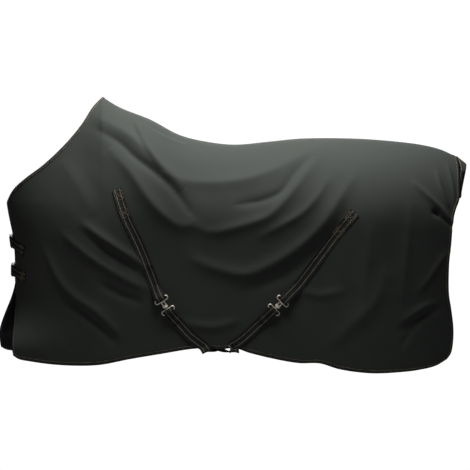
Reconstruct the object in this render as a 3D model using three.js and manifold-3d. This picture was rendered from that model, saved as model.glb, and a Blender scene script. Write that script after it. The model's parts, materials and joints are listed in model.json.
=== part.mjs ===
// A turnout rug for a horse, shaped as it hangs on the horse, in millimetres.
//
// +X runs towards the tail, -Y is the horse's left (near) side and +Z is up.
// The origin is where the underside of the lining rests on the middle of the back.
// Each half is a three-layer sandwich (shell, wadding, lining) seamed along the
// spine; its wadding is butted in three lengths. Two surcingles cross under the belly
// and two straps close the chest: each is made fast by a hook that catches in an eye.
import * as THREE from 'three';
import { mergeVertices } from 'three/addons/utils/BufferGeometryUtils.js';
import Module from 'manifold-3d';

const wasm = await Module();
wasm.setup();

// ---------------------------------------------------------------- driving sizes
const RUG = {
  length: 1358, // withers to dock, along X
  drop: 750, // spine to hem at the middle of the side
  halfWidth: 308, // widest reach of one side from the spine
  crownDepth: 330, // depth over which the barrel turns from back to flank
  chestRound: 330, // length over which the chest widens behind the front edge
  rumpRound: 520, // length over which the quarters close towards the tail
  rumpPast: 148, // how far behind the dock they would meet
  frontGap: 12, // half the gap between the two front edges at the chest
  frontSpread: 168, // half the gap between the bottom front corners
  farFlapKick: 74, // how far the right front flap kicks forwards at its foot
  seamGap: 0.25, // half the gap left between the two halves along the spine
};
const LAYER = { shell: 1.2, wadding: 5, lining: 0.8, gap: 0.4 };
// looseness: how far the tape hangs below the cloth's underside, as a share of its thickness
const BINDING = { width: 11, tape: 0.9, clearance: 0.9, looseness: 0.8, edgeSlack: 4 };
const FLAP = { halfTop: 104, halfFoot: 130, length: 152, overhang: 43, thickness: 3, seamGap: 2.7 };
const WEB = { width: 38, thickness: 1.6, lift: 4.2, layerGap: 0.5 };
const CLASP = {
  height: 12, // plane of the eye above the cloth
  barReach: 16, // front bar of each loop from the middle of the clasp
  loopDepth: 14, // front bar to back bar
  sideClearance: 6.5, // webbing edge to the middle of the side wire
  wire: 2, // radius of the loop wire
  cornerRadius: 6,
  plate: 3, // thickness of the eye plate
  stemWidth: 15,
  lipWidth: 20,
  lipReach: 7, // far edge of the eye's lip past the middle of the clasp
  slotWidth: 8,
  slotFrom: -11.5,
  slotTo: 2,
  hookDrop: 4, // the hook's loop lies this far below the eye's
  hookWidth: 6,
  hookThickness: 3,
  headLength: 14,
  headRadius: 2.6,
};
const ADJUSTER = { bar: 4, barHeight: 2.4, pitch: 10, cheek: 2.6, webClearance: 1.0, sideGap: 1.6 };
const LEG_RING = { inner: 29, depth: 24, wire: 3.6, plate: 3, webWidth: 25, tabLength: 36 };
const GRID = { along: 20, down: 14, cornerRow: 9 };
// The wadding lies butted in three lengths: name, first and last column of the grid.
const WADDING_LENGTHS = [['shoulder', 0, 7], ['barrel', 7, 14], ['quarters', 14, GRID.along]];

const LEFT = -1;
const RIGHT = 1;
const stack = LAYER.shell + LAYER.wadding + LAYER.lining + 2 * LAYER.gap;

// ---------------------------------------------------------------- materials
const material = (name, color, roughness, metalness = 0) =>
  Object.assign(new THREE.MeshStandardMaterial({ color, roughness, metalness }), { name });
const shellCloth = material('shell_cloth', 0x262a26, 0.62);
const waddingFill = material('wadding', 0xd8d6cf, 0.95);
const liningCloth = material('lining', 0x17191a, 0.5);
const bindingTape = material('binding', 0x1b1d1b, 0.7);
const webbing = material('webbing', 0x1a1b19, 0.75);
const nickel = material('nickel', 0xb9b1a2, 0.3, 1);

// ---------------------------------------------------------------- small maths
const vec = (x, y, z) => new THREE.Vector3(x, y, z);
const clamp01 = (t) => Math.min(1, Math.max(0, t));
const smooth = (t) => clamp01(t) ** 2 * (3 - 2 * clamp01(t));
const quarterRound = (t) => Math.sqrt(1 - (1 - clamp01(t)) ** 2);
const mix = (a, b, t) => a + (b - a) * t;

// A curve in the side view, from [share of length, share of drop] points.
function sideCurve(points, lift = 0) {
  const scaled = points.map(([fx, fz]) => vec(fx * RUG.length, 0, fz * RUG.drop + lift));
  return new THREE.CatmullRomCurve3(scaled, false, 'centripetal');
}

// Reads one coordinate of a curve where another coordinate has a given value.
function lookup(curve, key, value, steps = 160) {
  const samples = curve.getPoints(steps);
  const rising = samples[steps][key] > samples[0][key];
  if (!rising) samples.reverse();
  return (at) => {
    let i = samples.findIndex((p) => p[key] > at);
    if (i < 0) i = samples.length - 1;
    if (i < 1) i = 1;
    const a = samples[i - 1];
    const b = samples[i];
    return mix(a[value], b[value], clamp01((at - a[key]) / (b[key] - a[key])));
  };
}

// ---------------------------------------------------------------- outline
const WITHERS = [-0.372, 0.24];
const CHEST_POINT = [-0.641, -0.299];
const FRONT_CORNER = [-0.617, -1.052];
const REAR_CORNER = [0.577, -1.076];
const DOCK = [0.628, -0.059];

const spine = sideCurve([WITHERS, [-0.325, 0.189], [-0.24, 0.128], [-0.155, 0.048],
  [-0.071, 0.012], [0, 0], [0.099, 0.016], [0.185, 0.031], [0.309, 0.033],
  [0.412, 0.024], [0.527, 0.001], [0.585, -0.024], DOCK], stack);
const neckline = sideCurve([WITHERS, [-0.394, 0.195], [-0.429, 0.094], [-0.474, -0.006],
  [-0.532, -0.106], [-0.582, -0.173], [-0.619, -0.231], CHEST_POINT], stack);
const frontEdge = sideCurve([CHEST_POINT, [-0.635, -0.37], [-0.623, -0.477],
  [-0.619, -0.584], [-0.619, -0.677], [-0.617, -0.784], [-0.617, -0.891],
  [-0.62, -0.997], FRONT_CORNER], stack);
const hem = sideCurve([FRONT_CORNER, [-0.602, -1.067], [-0.569, -1.077], [-0.514, -1.088],
  [-0.446, -1.092], [-0.377, -1.085], [-0.296, -1.055], [-0.214, -1.029],
  [-0.134, -1.005], [-0.093, -1.0], [-0.012, -1.0], [0.029, -1.024],
  [0.11, -1.059], [0.164, -1.075], [0.219, -1.077], [0.274, -1.107],
  [0.356, -1.128], [0.44, -1.127], [0.497, -1.119], [0.546, -1.103],
  REAR_CORNER], stack);
const rearEdge = sideCurve([DOCK, [0.625, -0.131], [0.621, -0.211], [0.617, -0.277],
  [0.605, -0.324], [0.598, -0.36], [0.593, -0.411], [0.588, -0.507],
  [0.582, -0.605], [0.582, -0.755], [0.589, -0.824], [0.596, -0.917],
  [0.595, -0.997], [0.588, -1.051], REAR_CORNER], stack);

const spineHeight = lookup(spine, 'x', 'z');
const frontEdgeX = lookup(frontEdge, 'z', 'x');
const widthShare = lookup(new THREE.CatmullRomCurve3([[-0.64, 0.65], [-0.5, 0.73],
  [-0.35, 0.85], [-0.2, 0.94], [0, 0.99], [0.2, 1], [0.35, 0.98], [0.5, 0.92],
  [0.63, 0.85]].map(([fx, share]) => vec(fx * RUG.length, 0, share))), 'x', 'z');

// Height of the ridge, carried on past both ends of the spine seam.
function ridgeHeight(x) {
  const withersX = WITHERS[0] * RUG.length;
  const crestFall = 0.15;
  return spineHeight(x) - crestFall * Math.max(0, withersX - x);
}

// Reach of one side from the middle plane, for a point of the side view.
function bulge(x, z) {
  const depth = ridgeHeight(x) - z;
  const withersSharpness = 90 * smooth((-x / RUG.length - 0.15) / 0.2);
  const overBack = quarterRound(depth / (RUG.crownDepth + withersSharpness));
  const neckShare = smooth((-x / RUG.length - 0.25) / 0.2) * smooth((z / RUG.drop + 0.5) / 0.55);
  const flare = 1 + 0.03 * smooth((depth - RUG.crownDepth) / RUG.drop);
  const rumpEnd = DOCK[0] * RUG.length + RUG.rumpPast;
  const quarters = quarterRound((rumpEnd - x) / RUG.rumpRound);
  const body = RUG.halfWidth * widthShare(x) * (1 - 0.25 * neckShare) * flare * overBack * quarters;
  const behindEdge = clamp01((x - frontEdgeX(z)) / RUG.chestRound);
  const chest = (1 - (1 - behindEdge) ** 2) ** (1 / 2.6);
  const edge = frontHalfGap(z);
  return Math.sqrt(edge ** 2 + Math.max(0, body ** 2 - edge ** 2) * chest ** 2);
}

// Half the opening between the two front edges: none at the neck, wide at the foot.
function frontHalfGap(z) {
  const share = -z / RUG.drop;
  const closed = RUG.frontGap * smooth((share - 0.2) / 0.08);
  return closed + (RUG.frontSpread - RUG.frontGap) * smooth((share - 0.71) / 0.31);
}

// ---------------------------------------------------------------- cloth grid
// Side-view point of a panel: u runs front to rear, v runs spine to hem.
function sidePoint(u, v) {
  const front = v < 0.5 ? neckline.getPointAt(2 * v) : frontEdge.getPointAt(2 * v - 1);
  const rear = rearEdge.getPointAt(v);
  const top = spine.getPointAt(u);
  const foot = hem.getPointAt(u);
  const blend = (key) => (1 - u) * front[key] + u * rear[key] + (1 - v) * top[key] + v * foot[key]
    - (1 - u) * (1 - v) * top0[key] - u * (1 - v) * top1[key]
    - (1 - u) * v * foot0[key] - u * v * foot1[key];
  return { x: blend('x'), z: blend('z') };
}
const top0 = spine.getPointAt(0);
const top1 = spine.getPointAt(1);
const foot0 = hem.getPointAt(0);
const foot1 = hem.getPointAt(1);

function clothPoint(side, u, v) {
  const { x, z } = sidePoint(u, v);
  const low = smooth((-z / RUG.drop - 0.66) / 0.32);
  const forward = smooth((-x / RUG.length - 0.44) / 0.17);
  const kick = side === RIGHT ? RUG.farFlapKick * low * forward : 0;
  return vec(x - kick, side * (bulge(x, z) + RUG.seamGap), z);
}

// Gives every point of a grid the mean normal of the quads round it, on the given side.
function withNormals(points, sign) {
  const quadNormal = (i, j) => {
    const corner = points[i]?.[j];
    const opposite = points[i + 1]?.[j + 1];
    if (!corner || !opposite) return vec(0, 0, 0);
    const diagonal = opposite.clone().sub(corner);
    const other = points[i][j + 1].clone().sub(points[i + 1][j]);
    return diagonal.cross(other).normalize();
  };
  return points.map((column, i) => column.map((p, j) => {
    const n = quadNormal(i, j).add(quadNormal(i - 1, j)).add(quadNormal(i, j - 1));
    return { p, n: n.add(quadNormal(i - 1, j - 1)).multiplyScalar(sign).normalize() };
  }));
}

// Points and outward normals over a whole panel.
function panelGrid(side) {
  const bias = Math.log(0.5) / Math.log(GRID.cornerRow / GRID.down);
  const points = [];
  for (let i = 0; i <= GRID.along; i += 1) {
    const t = i / GRID.along;
    const u = mix(t ** 1.6, 1 - (1 - t) ** 1.3, t);
    const column = [];
    for (let j = 0; j <= GRID.down; j += 1) column.push(clothPoint(side, u, (j / GRID.down) ** bias));
    points.push(column);
  }
  const grid = withNormals(points, side);
  for (const column of grid) column[0].n.setY(0).normalize();
  return grid;
}

const lifted = (node, height) => node.p.clone().addScaledVector(node.n, height);
const between = (a, b, t) => ({
  p: a.p.clone().lerp(b.p, t),
  n: a.n.clone().lerp(b.n, t),
});
const stepped = (a, b, distance) => between(a, b, distance / a.p.distanceTo(b.p));

// ---------------------------------------------------------------- solids
// Makes a closed body from triangles and turns its faces outwards.
function closedBody(points, triangles) {
  let volume = 0;
  for (const [a, b, c] of triangles) {
    volume += points[a].dot(points[b].clone().cross(points[c]));
  }
  const index = triangles.flatMap(([a, b, c]) => (volume > 0 ? [a, b, c] : [a, c, b]));
  const geometry = new THREE.BufferGeometry();
  const numbers = points.flatMap((p) => p.toArray());
  geometry.setAttribute('position', new THREE.Float32BufferAttribute(numbers, 3));
  geometry.setIndex(index);
  return geometry;
}

// A layer of cloth: the space between two heights over a grid.
function layerBody(grid, from, to) {
  const across = grid[0].length;
  const points = [...grid.flat().map((n) => lifted(n, from)), ...grid.flat().map((n) => lifted(n, to))];
  const half = points.length / 2;
  const triangles = [];
  const quad = (a, b, c, d) => triangles.push([a, b, c], [a, c, d]);
  const id = (i, j) => i * across + j;
  for (let i = 0; i + 1 < grid.length; i += 1) {
    for (let j = 0; j + 1 < across; j += 1) {
      quad(id(i, j), id(i + 1, j), id(i + 1, j + 1), id(i, j + 1));
      quad(half + id(i, j), half + id(i, j + 1), half + id(i + 1, j + 1), half + id(i + 1, j));
    }
  }
  const rim = rimOf(grid.length - 1, across - 1);
  rim.forEach(([i, j], k) => {
    const [p, q] = rim[(k + 1) % rim.length];
    quad(id(p, q), id(i, j), half + id(i, j), half + id(p, q));
  });
  return closedBody(points, triangles);
}

// Grid places round the rim, in order.
function rimOf(last, foot) {
  const rim = [];
  for (let i = 0; i < last; i += 1) rim.push([i, 0]);
  for (let j = 0; j < foot; j += 1) rim.push([last, j]);
  for (let i = last; i > 0; i -= 1) rim.push([i, foot]);
  for (let j = foot; j > 0; j -= 1) rim.push([0, j]);
  return rim;
}

// Joins rings of points into a closed tube; cap lists the triangles of an end. A ring goes
// out along one wall and back along the other, so its second half takes the other diagonal
// and both walls of a twisted strip bend along the same lines.
function sweep(rings, cap, closed = false, turned = (i) => i >= rings[0].length / 2) {
  const count = rings[0].length;
  const triangles = [];
  const spans = closed ? rings.length : rings.length - 1;
  for (let k = 0; k < spans; k += 1) {
    const here = k * count;
    const next = ((k + 1) % rings.length) * count;
    for (let i = 0; i < count; i += 1) {
      const [a, b, c, d] = [here + i, next + i, next + (i + 1) % count, here + (i + 1) % count];
      if (turned(i, k)) triangles.push([a, b, d], [b, c, d]);
      else triangles.push([a, b, c], [a, c, d]);
    }
  }
  if (!closed) {
    const end = (rings.length - 1) * count;
    for (const [a, b, c] of cap) {
      triangles.push([a, b, c], [end + a, end + c, end + b]);
    }
  }
  return closedBody(rings.flat(), triangles);
}
const SQUARE_CAP = [[0, 1, 2], [0, 2, 3]];

// Tape folded round a cloth edge; each stop has the edge node and the node inside it.
function bindingBody(stops, thickness, turned = () => false) {
  const { width, tape, clearance, looseness, edgeSlack } = BINDING;
  const rings = stops.map(([edge, inside]) => {
    const inward = inside.p.clone().sub(edge.p);
    const reach = width / inward.length();
    const inner = between(edge, inside, reach);
    const out = inward.normalize().multiplyScalar(-1);
    const over = clearance;
    const under = -thickness * (1 + looseness);
    const past = (distance, height) => lifted(edge, height).addScaledVector(out, distance);
    return [lifted(inner, over), lifted(inner, over + tape),
      past(edgeSlack + tape, over + tape), past(edgeSlack + tape, under - tape),
      lifted(inner, under - tape), lifted(inner, under),
      past(edgeSlack, under), past(edgeSlack, over)];
  });
  const cap = [[0, 1, 2], [0, 2, 7], [7, 2, 3], [7, 3, 6], [6, 3, 4], [6, 4, 5]];
  return sweep(rings, cap, false, turned);
}

// Flat webbing along stops of { p: middle, w: direction across }.
function ribbonBody(stops, width = WEB.width, thickness = WEB.thickness) {
  const rings = stops.map((stop, k) => {
    const before = stops[Math.max(0, k - 1)].p;
    const after = stops[Math.min(stops.length - 1, k + 1)].p;
    const along = after.clone().sub(before).normalize();
    const face = along.clone().cross(stop.w).normalize();
    const across = face.clone().cross(along).normalize();
    const corner = (a, b) => stop.p.clone()
      .addScaledVector(across, a * width / 2).addScaledVector(face, b * thickness / 2);
    return [corner(-1, -1), corner(1, -1), corner(1, 1), corner(-1, 1)];
  });
  return sweep(rings, SQUARE_CAP);
}

// A wire ring through the given middle points, all in one plane with the given normal.
function wireRing(points, planeNormal, section) {
  const rings = points.map((p, k) => {
    const before = points[(k + points.length - 1) % points.length];
    const after = points[(k + 1) % points.length];
    const along = after.clone().sub(before).normalize();
    const out = along.clone().cross(planeNormal).normalize();
    return section.map(([a, b]) => p.clone().addScaledVector(out, a).addScaledVector(planeNormal, b));
  });
  return sweep(rings, [], true);
}

function roundSection(radius, sides) {
  const angles = Array.from({ length: sides }, (_, k) => (k + 0.5) * 2 * Math.PI / sides);
  return angles.map((a) => [radius * Math.cos(a), radius * Math.sin(a)]);
}

// Turns a closed geometry into a manifold solid and joins several into one.
function toSolid(geometry) {
  const bare = geometry.clone();
  bare.deleteAttribute('normal');
  bare.deleteAttribute('uv');
  const merged = mergeVertices(bare, 1e-4);
  const mesh = new wasm.Mesh({
    numProp: 3,
    vertProperties: Float32Array.from(merged.attributes.position.array),
    triVerts: Uint32Array.from(merged.index.array),
  });
  return new wasm.Manifold(mesh);
}

function joined(...geometries) {
  const solid = geometries.map(toSolid).reduce((all, next) => all.add(next));
  const mesh = solid.getMesh();
  const geometry = new THREE.BufferGeometry();
  geometry.setAttribute('position', new THREE.BufferAttribute(Float32Array.from(mesh.vertProperties), 3));
  geometry.setIndex(new THREE.BufferAttribute(Uint32Array.from(mesh.triVerts), 1));
  return geometry;
}

// ---------------------------------------------------------------- assembly helpers
const rug = new THREE.Group();

function add(parent, name, geometry, finish) {
  const mesh = new THREE.Mesh(geometry, finish);
  mesh.name = name;
  parent.add(mesh);
}

// A group whose x, y and z axes are the given directions.
function placed(origin, xAxis, zAxis) {
  const yAxis = zAxis.clone().cross(xAxis).normalize();
  const group = new THREE.Group();
  group.matrixAutoUpdate = false;
  group.matrix.makeBasis(xAxis, yAxis, zAxis).setPosition(origin);
  rug.add(group);
  return group;
}
const local = (group, x, y, z) => vec(x, y, z).applyMatrix4(group.matrix);
const axisOf = (group, column) => new THREE.Vector3().setFromMatrixColumn(group.matrix, column);

// ---------------------------------------------------------------- panels and bindings
// The neckline is twisted, so its tape has a stop wherever it crosses a fold line between
// two facets of the cloth, and its walls take the diagonals of the cloth.
const NECK_TURNS = [1, 2, 5]; // walls of the tape that run against the cloth's order
function neckBinding(grid) {
  const stops = [];
  for (let j = 0; j < GRID.cornerRow; j += 1) {
    const [edge, nextEdge, nextInside] = [grid[0][j], grid[0][j + 1], grid[1][j + 1]];
    const share = BINDING.width / nextEdge.p.distanceTo(nextInside.p);
    stops.push([edge, grid[1][j]]);
    stops.push([between(edge, nextEdge, share), between(edge, nextInside, share)]);
  }
  const end = 0.97; // stops just short of the chest corner
  const last = GRID.cornerRow;
  stops.push([0, 1].map((i) => between(grid[i][last - 1], grid[i][last], end)));
  return bindingBody(stops, stack, (i) => NECK_TURNS.includes(i));
}

function addPanels(name, side) {
  const grid = panelGrid(side);
  const under = -LAYER.shell - LAYER.gap;
  const deep = under - LAYER.wadding - LAYER.gap;
  add(rug, `outer_shell_${name}`, layerBody(grid, 0, -LAYER.shell), shellCloth);
  WADDING_LENGTHS.forEach(([length, first, beyond]) => {
    const part = grid.slice(first, beyond + 1);
    if (first > 0) part[0] = part[0].map((node, j) => stepped(node, part[1][j], LAYER.gap));
    const body = layerBody(part, under, under - LAYER.wadding);
    add(rug, `wadding_${length}_${name}`, body, waddingFill);
  });
  add(rug, `lining_${name}`, layerBody(grid, deep, deep - LAYER.lining), liningCloth);

  const last = GRID.along;
  const foot = GRID.down;
  add(rug, `neck_binding_${name}`, neckBinding(grid), bindingTape);

  const hemStops = [];
  for (let j = GRID.cornerRow; j < foot; j += 1) hemStops.push([grid[0][j], grid[1][j]]);
  hemStops.push([grid[0][foot], grid[1][foot - 1]]);
  for (let i = 1; i < last; i += 1) hemStops.push([grid[i][foot], grid[i][foot - 1]]);
  hemStops.push([grid[last][foot], grid[last - 1][foot - 1]]);
  for (let j = foot - 1; j >= 0; j -= 1) hemStops.push([grid[last][j], grid[last - 1][j]]);
  add(rug, `hem_binding_${name}`, bindingBody(hemStops, stack), bindingTape);
}

// ---------------------------------------------------------------- tail flap
// The flap hangs from the dock over the top of the tail; it bulges at the middle.
function addTailFlap() {
  const seam = spine.getPointAt(1);
  const startX = seam.x + BINDING.edgeSlack + BINDING.tape + FLAP.seamGap;
  const columns = 10;
  const rows = 6;
  const point = (a, t) => {
    const out = Math.abs(a) ** 1.7;
    const swell = Math.sin(Math.min(1, t * 2.2) * Math.PI / 2);
    const belly = FLAP.overhang * swell * (1 - 0.7 * smooth((t - 0.3) / 0.9));
    const top = seam.z - 55 * out;
    const bottom = seam.z - FLAP.length - 6 * out;
    const arch = mix(top, bottom, t ** 1.25);
    return vec(startX + belly * (1 - out) - 6 * t * out, a * mix(FLAP.halfTop, FLAP.halfFoot, t), arch);
  };
  const points = [];
  for (let i = 0; i <= columns; i += 1) {
    const column = [];
    for (let j = 0; j <= rows; j += 1) column.push(point(2 * i / columns - 1, j / rows));
    points.push(column);
  }
  const grid = withNormals(points, -1);
  add(rug, 'tail_flap', layerBody(grid, 0, -FLAP.thickness), shellCloth);
  const stops = [];
  for (let j = 1; j < rows; j += 1) stops.push([grid[0][j], grid[1][j]]);
  stops.push([grid[0][rows], grid[1][rows - 1]]);
  for (let i = 1; i < columns; i += 1) stops.push([grid[i][rows], grid[i][rows - 1]]);
  stops.push([grid[columns][rows], grid[columns - 1][rows - 1]]);
  for (let j = rows - 1; j >= 1; j -= 1) stops.push([grid[columns][j], grid[columns - 1][j]]);
  add(rug, 'tail_flap_binding', bindingBody(stops, FLAP.thickness), bindingTape);
}

// ---------------------------------------------------------------- webbing on the cloth
function surfaceNormal(side, x, z) {
  const step = 3;
  const slopeX = (bulge(x + step, z) - bulge(x - step, z)) / (2 * step);
  const slopeZ = (bulge(x, z + step) - bulge(x, z - step)) / (2 * step);
  return vec(-slopeX, side, -slopeZ).normalize();
}

function onCloth(side, x, z, lift) {
  const point = vec(x, side * bulge(x, z), z);
  return point.addScaledVector(surfaceNormal(side, x, z), lift);
}

// Stops along the cloth through side-view points given as shares of length and drop.
function clothStops(side, shares, spacing = 36, lift = () => WEB.lift) {
  const path = sideCurve(shares);
  const count = Math.max(1, Math.round(path.getLength() / spacing));
  const stops = [];
  for (let k = 0; k <= count; k += 1) {
    const { x, z } = path.getPointAt(k / count);
    const ahead = path.getTangentAt(k / count);
    const p = onCloth(side, x, z, lift(k / count));
    const w = surfaceNormal(side, x, z).cross(vec(ahead.x, 0, ahead.z)).normalize();
    stops.push({ p, w });
  }
  return stops;
}

// Keeps the across direction of every stop on the same side of the webbing.
function aligned(stops) {
  stops.forEach((stop, k) => {
    if (k > 0 && stop.w.dot(stops[k - 1].w) < 0) stop.w.negate();
  });
  return stops;
}

// ---------------------------------------------------------------- clasp hardware
const loopHalfWidth = WEB.width / 2 + CLASP.sideClearance;

// A rounded rectangle of wire between two bars.
function loopBody(frontX, backX, z) {
  const corner = CLASP.cornerRadius;
  const outline = [];
  const middle = (frontX + backX) / 2;
  const halfDepth = Math.abs(backX - frontX) / 2;
  const radius = Math.min(corner, halfDepth - 0.5);
  for (const [sx, sy, start] of [[1, 1, 0], [-1, 1, 90], [-1, -1, 180], [1, -1, 270]]) {
    for (let k = 0; k <= 3; k += 1) {
      const angle = THREE.MathUtils.degToRad(start + 30 * k);
      outline.push(vec(middle + sx * (halfDepth - radius) + radius * Math.cos(angle),
        sy * (loopHalfWidth - radius) + radius * Math.sin(angle), z));
    }
  }
  return wireRing(outline, vec(0, 0, 1), roundSection(CLASP.wire, 8));
}

function extrudedPlate(shape, depth, z) {
  return new THREE.ExtrudeGeometry(shape, { depth, bevelEnabled: false }).translate(0, 0, z);
}

// The eye: a wire loop for the webbing and a slotted plate that ends in a wide lip.
function eyeBody() {
  const bar = -CLASP.barReach;
  const half = CLASP.stemWidth / 2;
  const lip = CLASP.lipWidth / 2;
  const shape = new THREE.Shape([[bar, -half], [-1, -half], [1.5, -lip], [CLASP.lipReach - 1.5, -lip],
    [CLASP.lipReach, 1.5 - lip], [CLASP.lipReach, lip - 1.5], [CLASP.lipReach - 1.5, lip],
    [1.5, lip], [-1, half], [bar, half]].map(([x, y]) => new THREE.Vector2(x, y)));
  const slot = CLASP.slotWidth / 2;
  shape.holes.push(new THREE.Path([[CLASP.slotFrom, -slot], [CLASP.slotFrom, slot],
    [CLASP.slotTo, slot], [CLASP.slotTo, -slot]].map(([x, y]) => new THREE.Vector2(x, y))));
  const plate = extrudedPlate(shape, CLASP.plate, -CLASP.plate / 2);
  return joined(loopBody(bar, bar - CLASP.loopDepth, 0), plate);
}

// The hook: its neck runs under the eye's lip, up through the slot and back over it.
function hookBody() {
  const bar = CLASP.barReach;
  const t = CLASP.hookThickness;
  const low = -CLASP.hookDrop;
  const bight = CLASP.slotTo - 0.4;
  const top = CLASP.plate / 2 + 0.6;
  const headX = CLASP.lipReach + 2.2;
  const profile = [[bar, low - t / 2], [bight - 1.5, low - t / 2], [bight - t, low - t / 2 + 1.5],
    [bight - t, top + t - 1.5], [bight - 1.5, top + t], [headX, top + t], [headX, top],
    [bight, top], [bight, low + t / 2], [bar, low + t / 2]];
  const shape = new THREE.Shape(profile.map(([x, z]) => new THREE.Vector2(x, z)));
  const stem = new THREE.ExtrudeGeometry(shape, { depth: CLASP.hookWidth, bevelEnabled: false })
    .rotateX(Math.PI / 2).translate(0, CLASP.hookWidth / 2, 0);
  const headHeight = top + CLASP.headRadius - 0.1;
  const head = new THREE.CapsuleGeometry(CLASP.headRadius, CLASP.headLength - 2 * CLASP.headRadius, 3, 8)
    .translate(headX - CLASP.headRadius + 1.2, 0, headHeight);
  return joined(loopBody(bar, bar + CLASP.loopDepth, low), stem, head);
}

const eyeGeometry = eyeBody();
const hookGeometry = hookBody();

// Half of a webbing fold round a loop's back bar, as [distance out, height] pairs:
// from the strap along the underside, round the fold and back over the top.
function foldProfile(barHeight) {
  const clear = CLASP.wire + 0.4 + WEB.thickness / 2;
  const bar = CLASP.barReach + CLASP.loopDepth;
  const nose = CLASP.barReach + CLASP.wire + 0.8 + WEB.thickness / 2;
  return [[bar + 16, barHeight - clear - 0.4], [bar + 6, barHeight - clear - 0.1],
    [bar, barHeight - clear], [nose + 3.4, barHeight - clear + 0.2],
    [nose + 1.2, barHeight - 0.75 * clear], [nose + 0.2, barHeight - 0.35 * clear],
    [nose, barHeight], [nose + 0.2, barHeight + 0.35 * clear],
    [nose + 1.2, barHeight + 0.75 * clear], [nose + 3.4, barHeight + clear - 0.2],
    [bar, barHeight + clear], [bar + 6, barHeight + clear - 0.5]];
}

// The fold as webbing stops on one side (sign) of a clasp.
function foldStops(clasp, sign, barHeight) {
  const w = axisOf(clasp, 1);
  return foldProfile(barHeight).map(([r, z]) => ({ p: local(clasp, sign * r, 0, z), w: w.clone() }));
}

// The sewn-back end of a fold: it comes down onto the strap and lies on it.
function sewnEnd(from, to, clasp) {
  const up = axisOf(clasp, 2);
  const lift = WEB.thickness + WEB.layerGap;
  return [0.35, 0.62].map((t) => ({
    p: from.p.clone().lerp(to.p, t).addScaledVector(up, lift * (t < 0.5 ? 1.3 : 1.1)),
    w: from.w.clone(),
  }));
}

// Eye, hook and the loops of webbing that hold them, at one place on a strap.
// tabStops run from the sewn end to the clasp; strapStops run on from it.
function addClasp(name, clasp, tabStops, strapStops, strapName) {
  add(clasp, `${name}_eye`, eyeGeometry, nickel);
  add(clasp, `${name}_hook`, hookGeometry, nickel);

  const eyeFold = foldStops(clasp, -1, 0);
  const tabEnd = tabStops[tabStops.length - 1];
  const tab = aligned([...tabStops, ...eyeFold, ...sewnEnd(eyeFold[0], tabEnd, clasp)]);
  add(rug, `${name}_tab`, ribbonBody(tab), webbing);

  const hookFold = foldStops(clasp, 1, -CLASP.hookDrop);
  const [join, ...rest] = strapStops;
  const split = 0.7; // where the loop stops and the strap goes on
  const loopEnd = { p: hookFold[0].p.clone().lerp(join.p, split), w: hookFold[0].w.clone() };
  const strapStart = { p: hookFold[0].p.clone().lerp(join.p, split + 0.06), w: hookFold[0].w.clone() };
  const loop = aligned([loopEnd, ...hookFold, ...sewnEnd(hookFold[0], join, clasp)]);
  add(rug, `${name}_loop`, ribbonBody(loop), webbing);
  add(rug, strapName, ribbonBody(aligned([strapStart, join, ...rest])), webbing);
}

// ---------------------------------------------------------------- chest closures
// length: how far back the sewn end lies behind the front edge, along X.
const CHEST_TAB = { length: 62, spacing: 9, lift: 5.6 };

function addChestClosure(name, height, anchorHeight) {
  const z = height * RUG.drop;
  const edgeX = frontEdgeX(z);
  const slope = (frontEdgeX(z + loopHalfWidth) - frontEdgeX(z - loopHalfWidth)) / (2 * loopHalfWidth);
  const forward = vec(-1, 0, slope).normalize();
  const clasp = placed(vec(edgeX, 0, z).addScaledVector(forward, CLASP.height), vec(0, 1, 0), forward);
  const shares = [];
  for (const t of [1, 0.87, 0.74, 0.62, 0.5, 0.4]) {
    shares.push([(edgeX + CHEST_TAB.length * t ** 2) / RUG.length, mix(height, anchorHeight, t)]);
  }
  const lift = () => CHEST_TAB.lift;
  const tabStops = clothStops(LEFT, shares, CHEST_TAB.spacing, lift);
  const strapStops = clothStops(RIGHT, [...shares].reverse(), CHEST_TAB.spacing, lift);
  addClasp(name, clasp, tabStops, strapStops, `${name}_strap`);
}

// ---------------------------------------------------------------- surcingles
const SURCINGLES = {
  front: {
    above: [[-0.33, -0.216], [-0.309, -0.338], [-0.268, -0.5], [-0.228, -0.686]],
    clasp: [-0.201, -0.783],
    below: [[-0.163, -0.872], [-0.134, -0.93], [-0.096, -0.985]],
  },
  rear: {
    above: [[0.314, -0.329], [0.273, -0.417], [0.218, -0.549], [0.164, -0.677]],
    clasp: [0.105, -0.784],
    below: [[0.055, -0.872], [0.012, -0.955], [-0.01, -0.985]],
  },
};
const CROSSING = { x: -0.05, drop: 1.062, apart: 5 };

// Webbing under the belly from one hem to the other, past the crossing point.
function bellyStops(fromShare, toShare, lower) {
  const [x0, x1] = [fromShare * RUG.length, toShare * RUG.length];
  const crossX = CROSSING.x * RUG.length;
  const crossZ = -CROSSING.drop * RUG.drop - lower;
  const hemZ = -RUG.drop;
  const stops = [];
  const steps = 14;
  for (let k = 0; k <= steps; k += 1) {
    const t = k / steps;
    const reach = mix(bulge(x0, hemZ), bulge(x1, hemZ), t) + WEB.lift + 4;
    const y = -Math.cos(Math.PI * t) * reach;
    const x = mix(t < 0.5 ? x0 : x1, crossX, Math.sin(Math.PI * t));
    const z = mix(hemZ - 12, crossZ, Math.sin(Math.PI * t) ** 0.75);
    const turned = smooth(Math.sin(Math.PI * t) * 1.6);
    const tilt = t < 0.5 ? Math.sign(x0 - crossX) : Math.sign(x1 - crossX);
    stops.push({ p: vec(x, y, z), w: vec(1, 0, -tilt * (1 - turned)).normalize() });
  }
  return stops;
}

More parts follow.
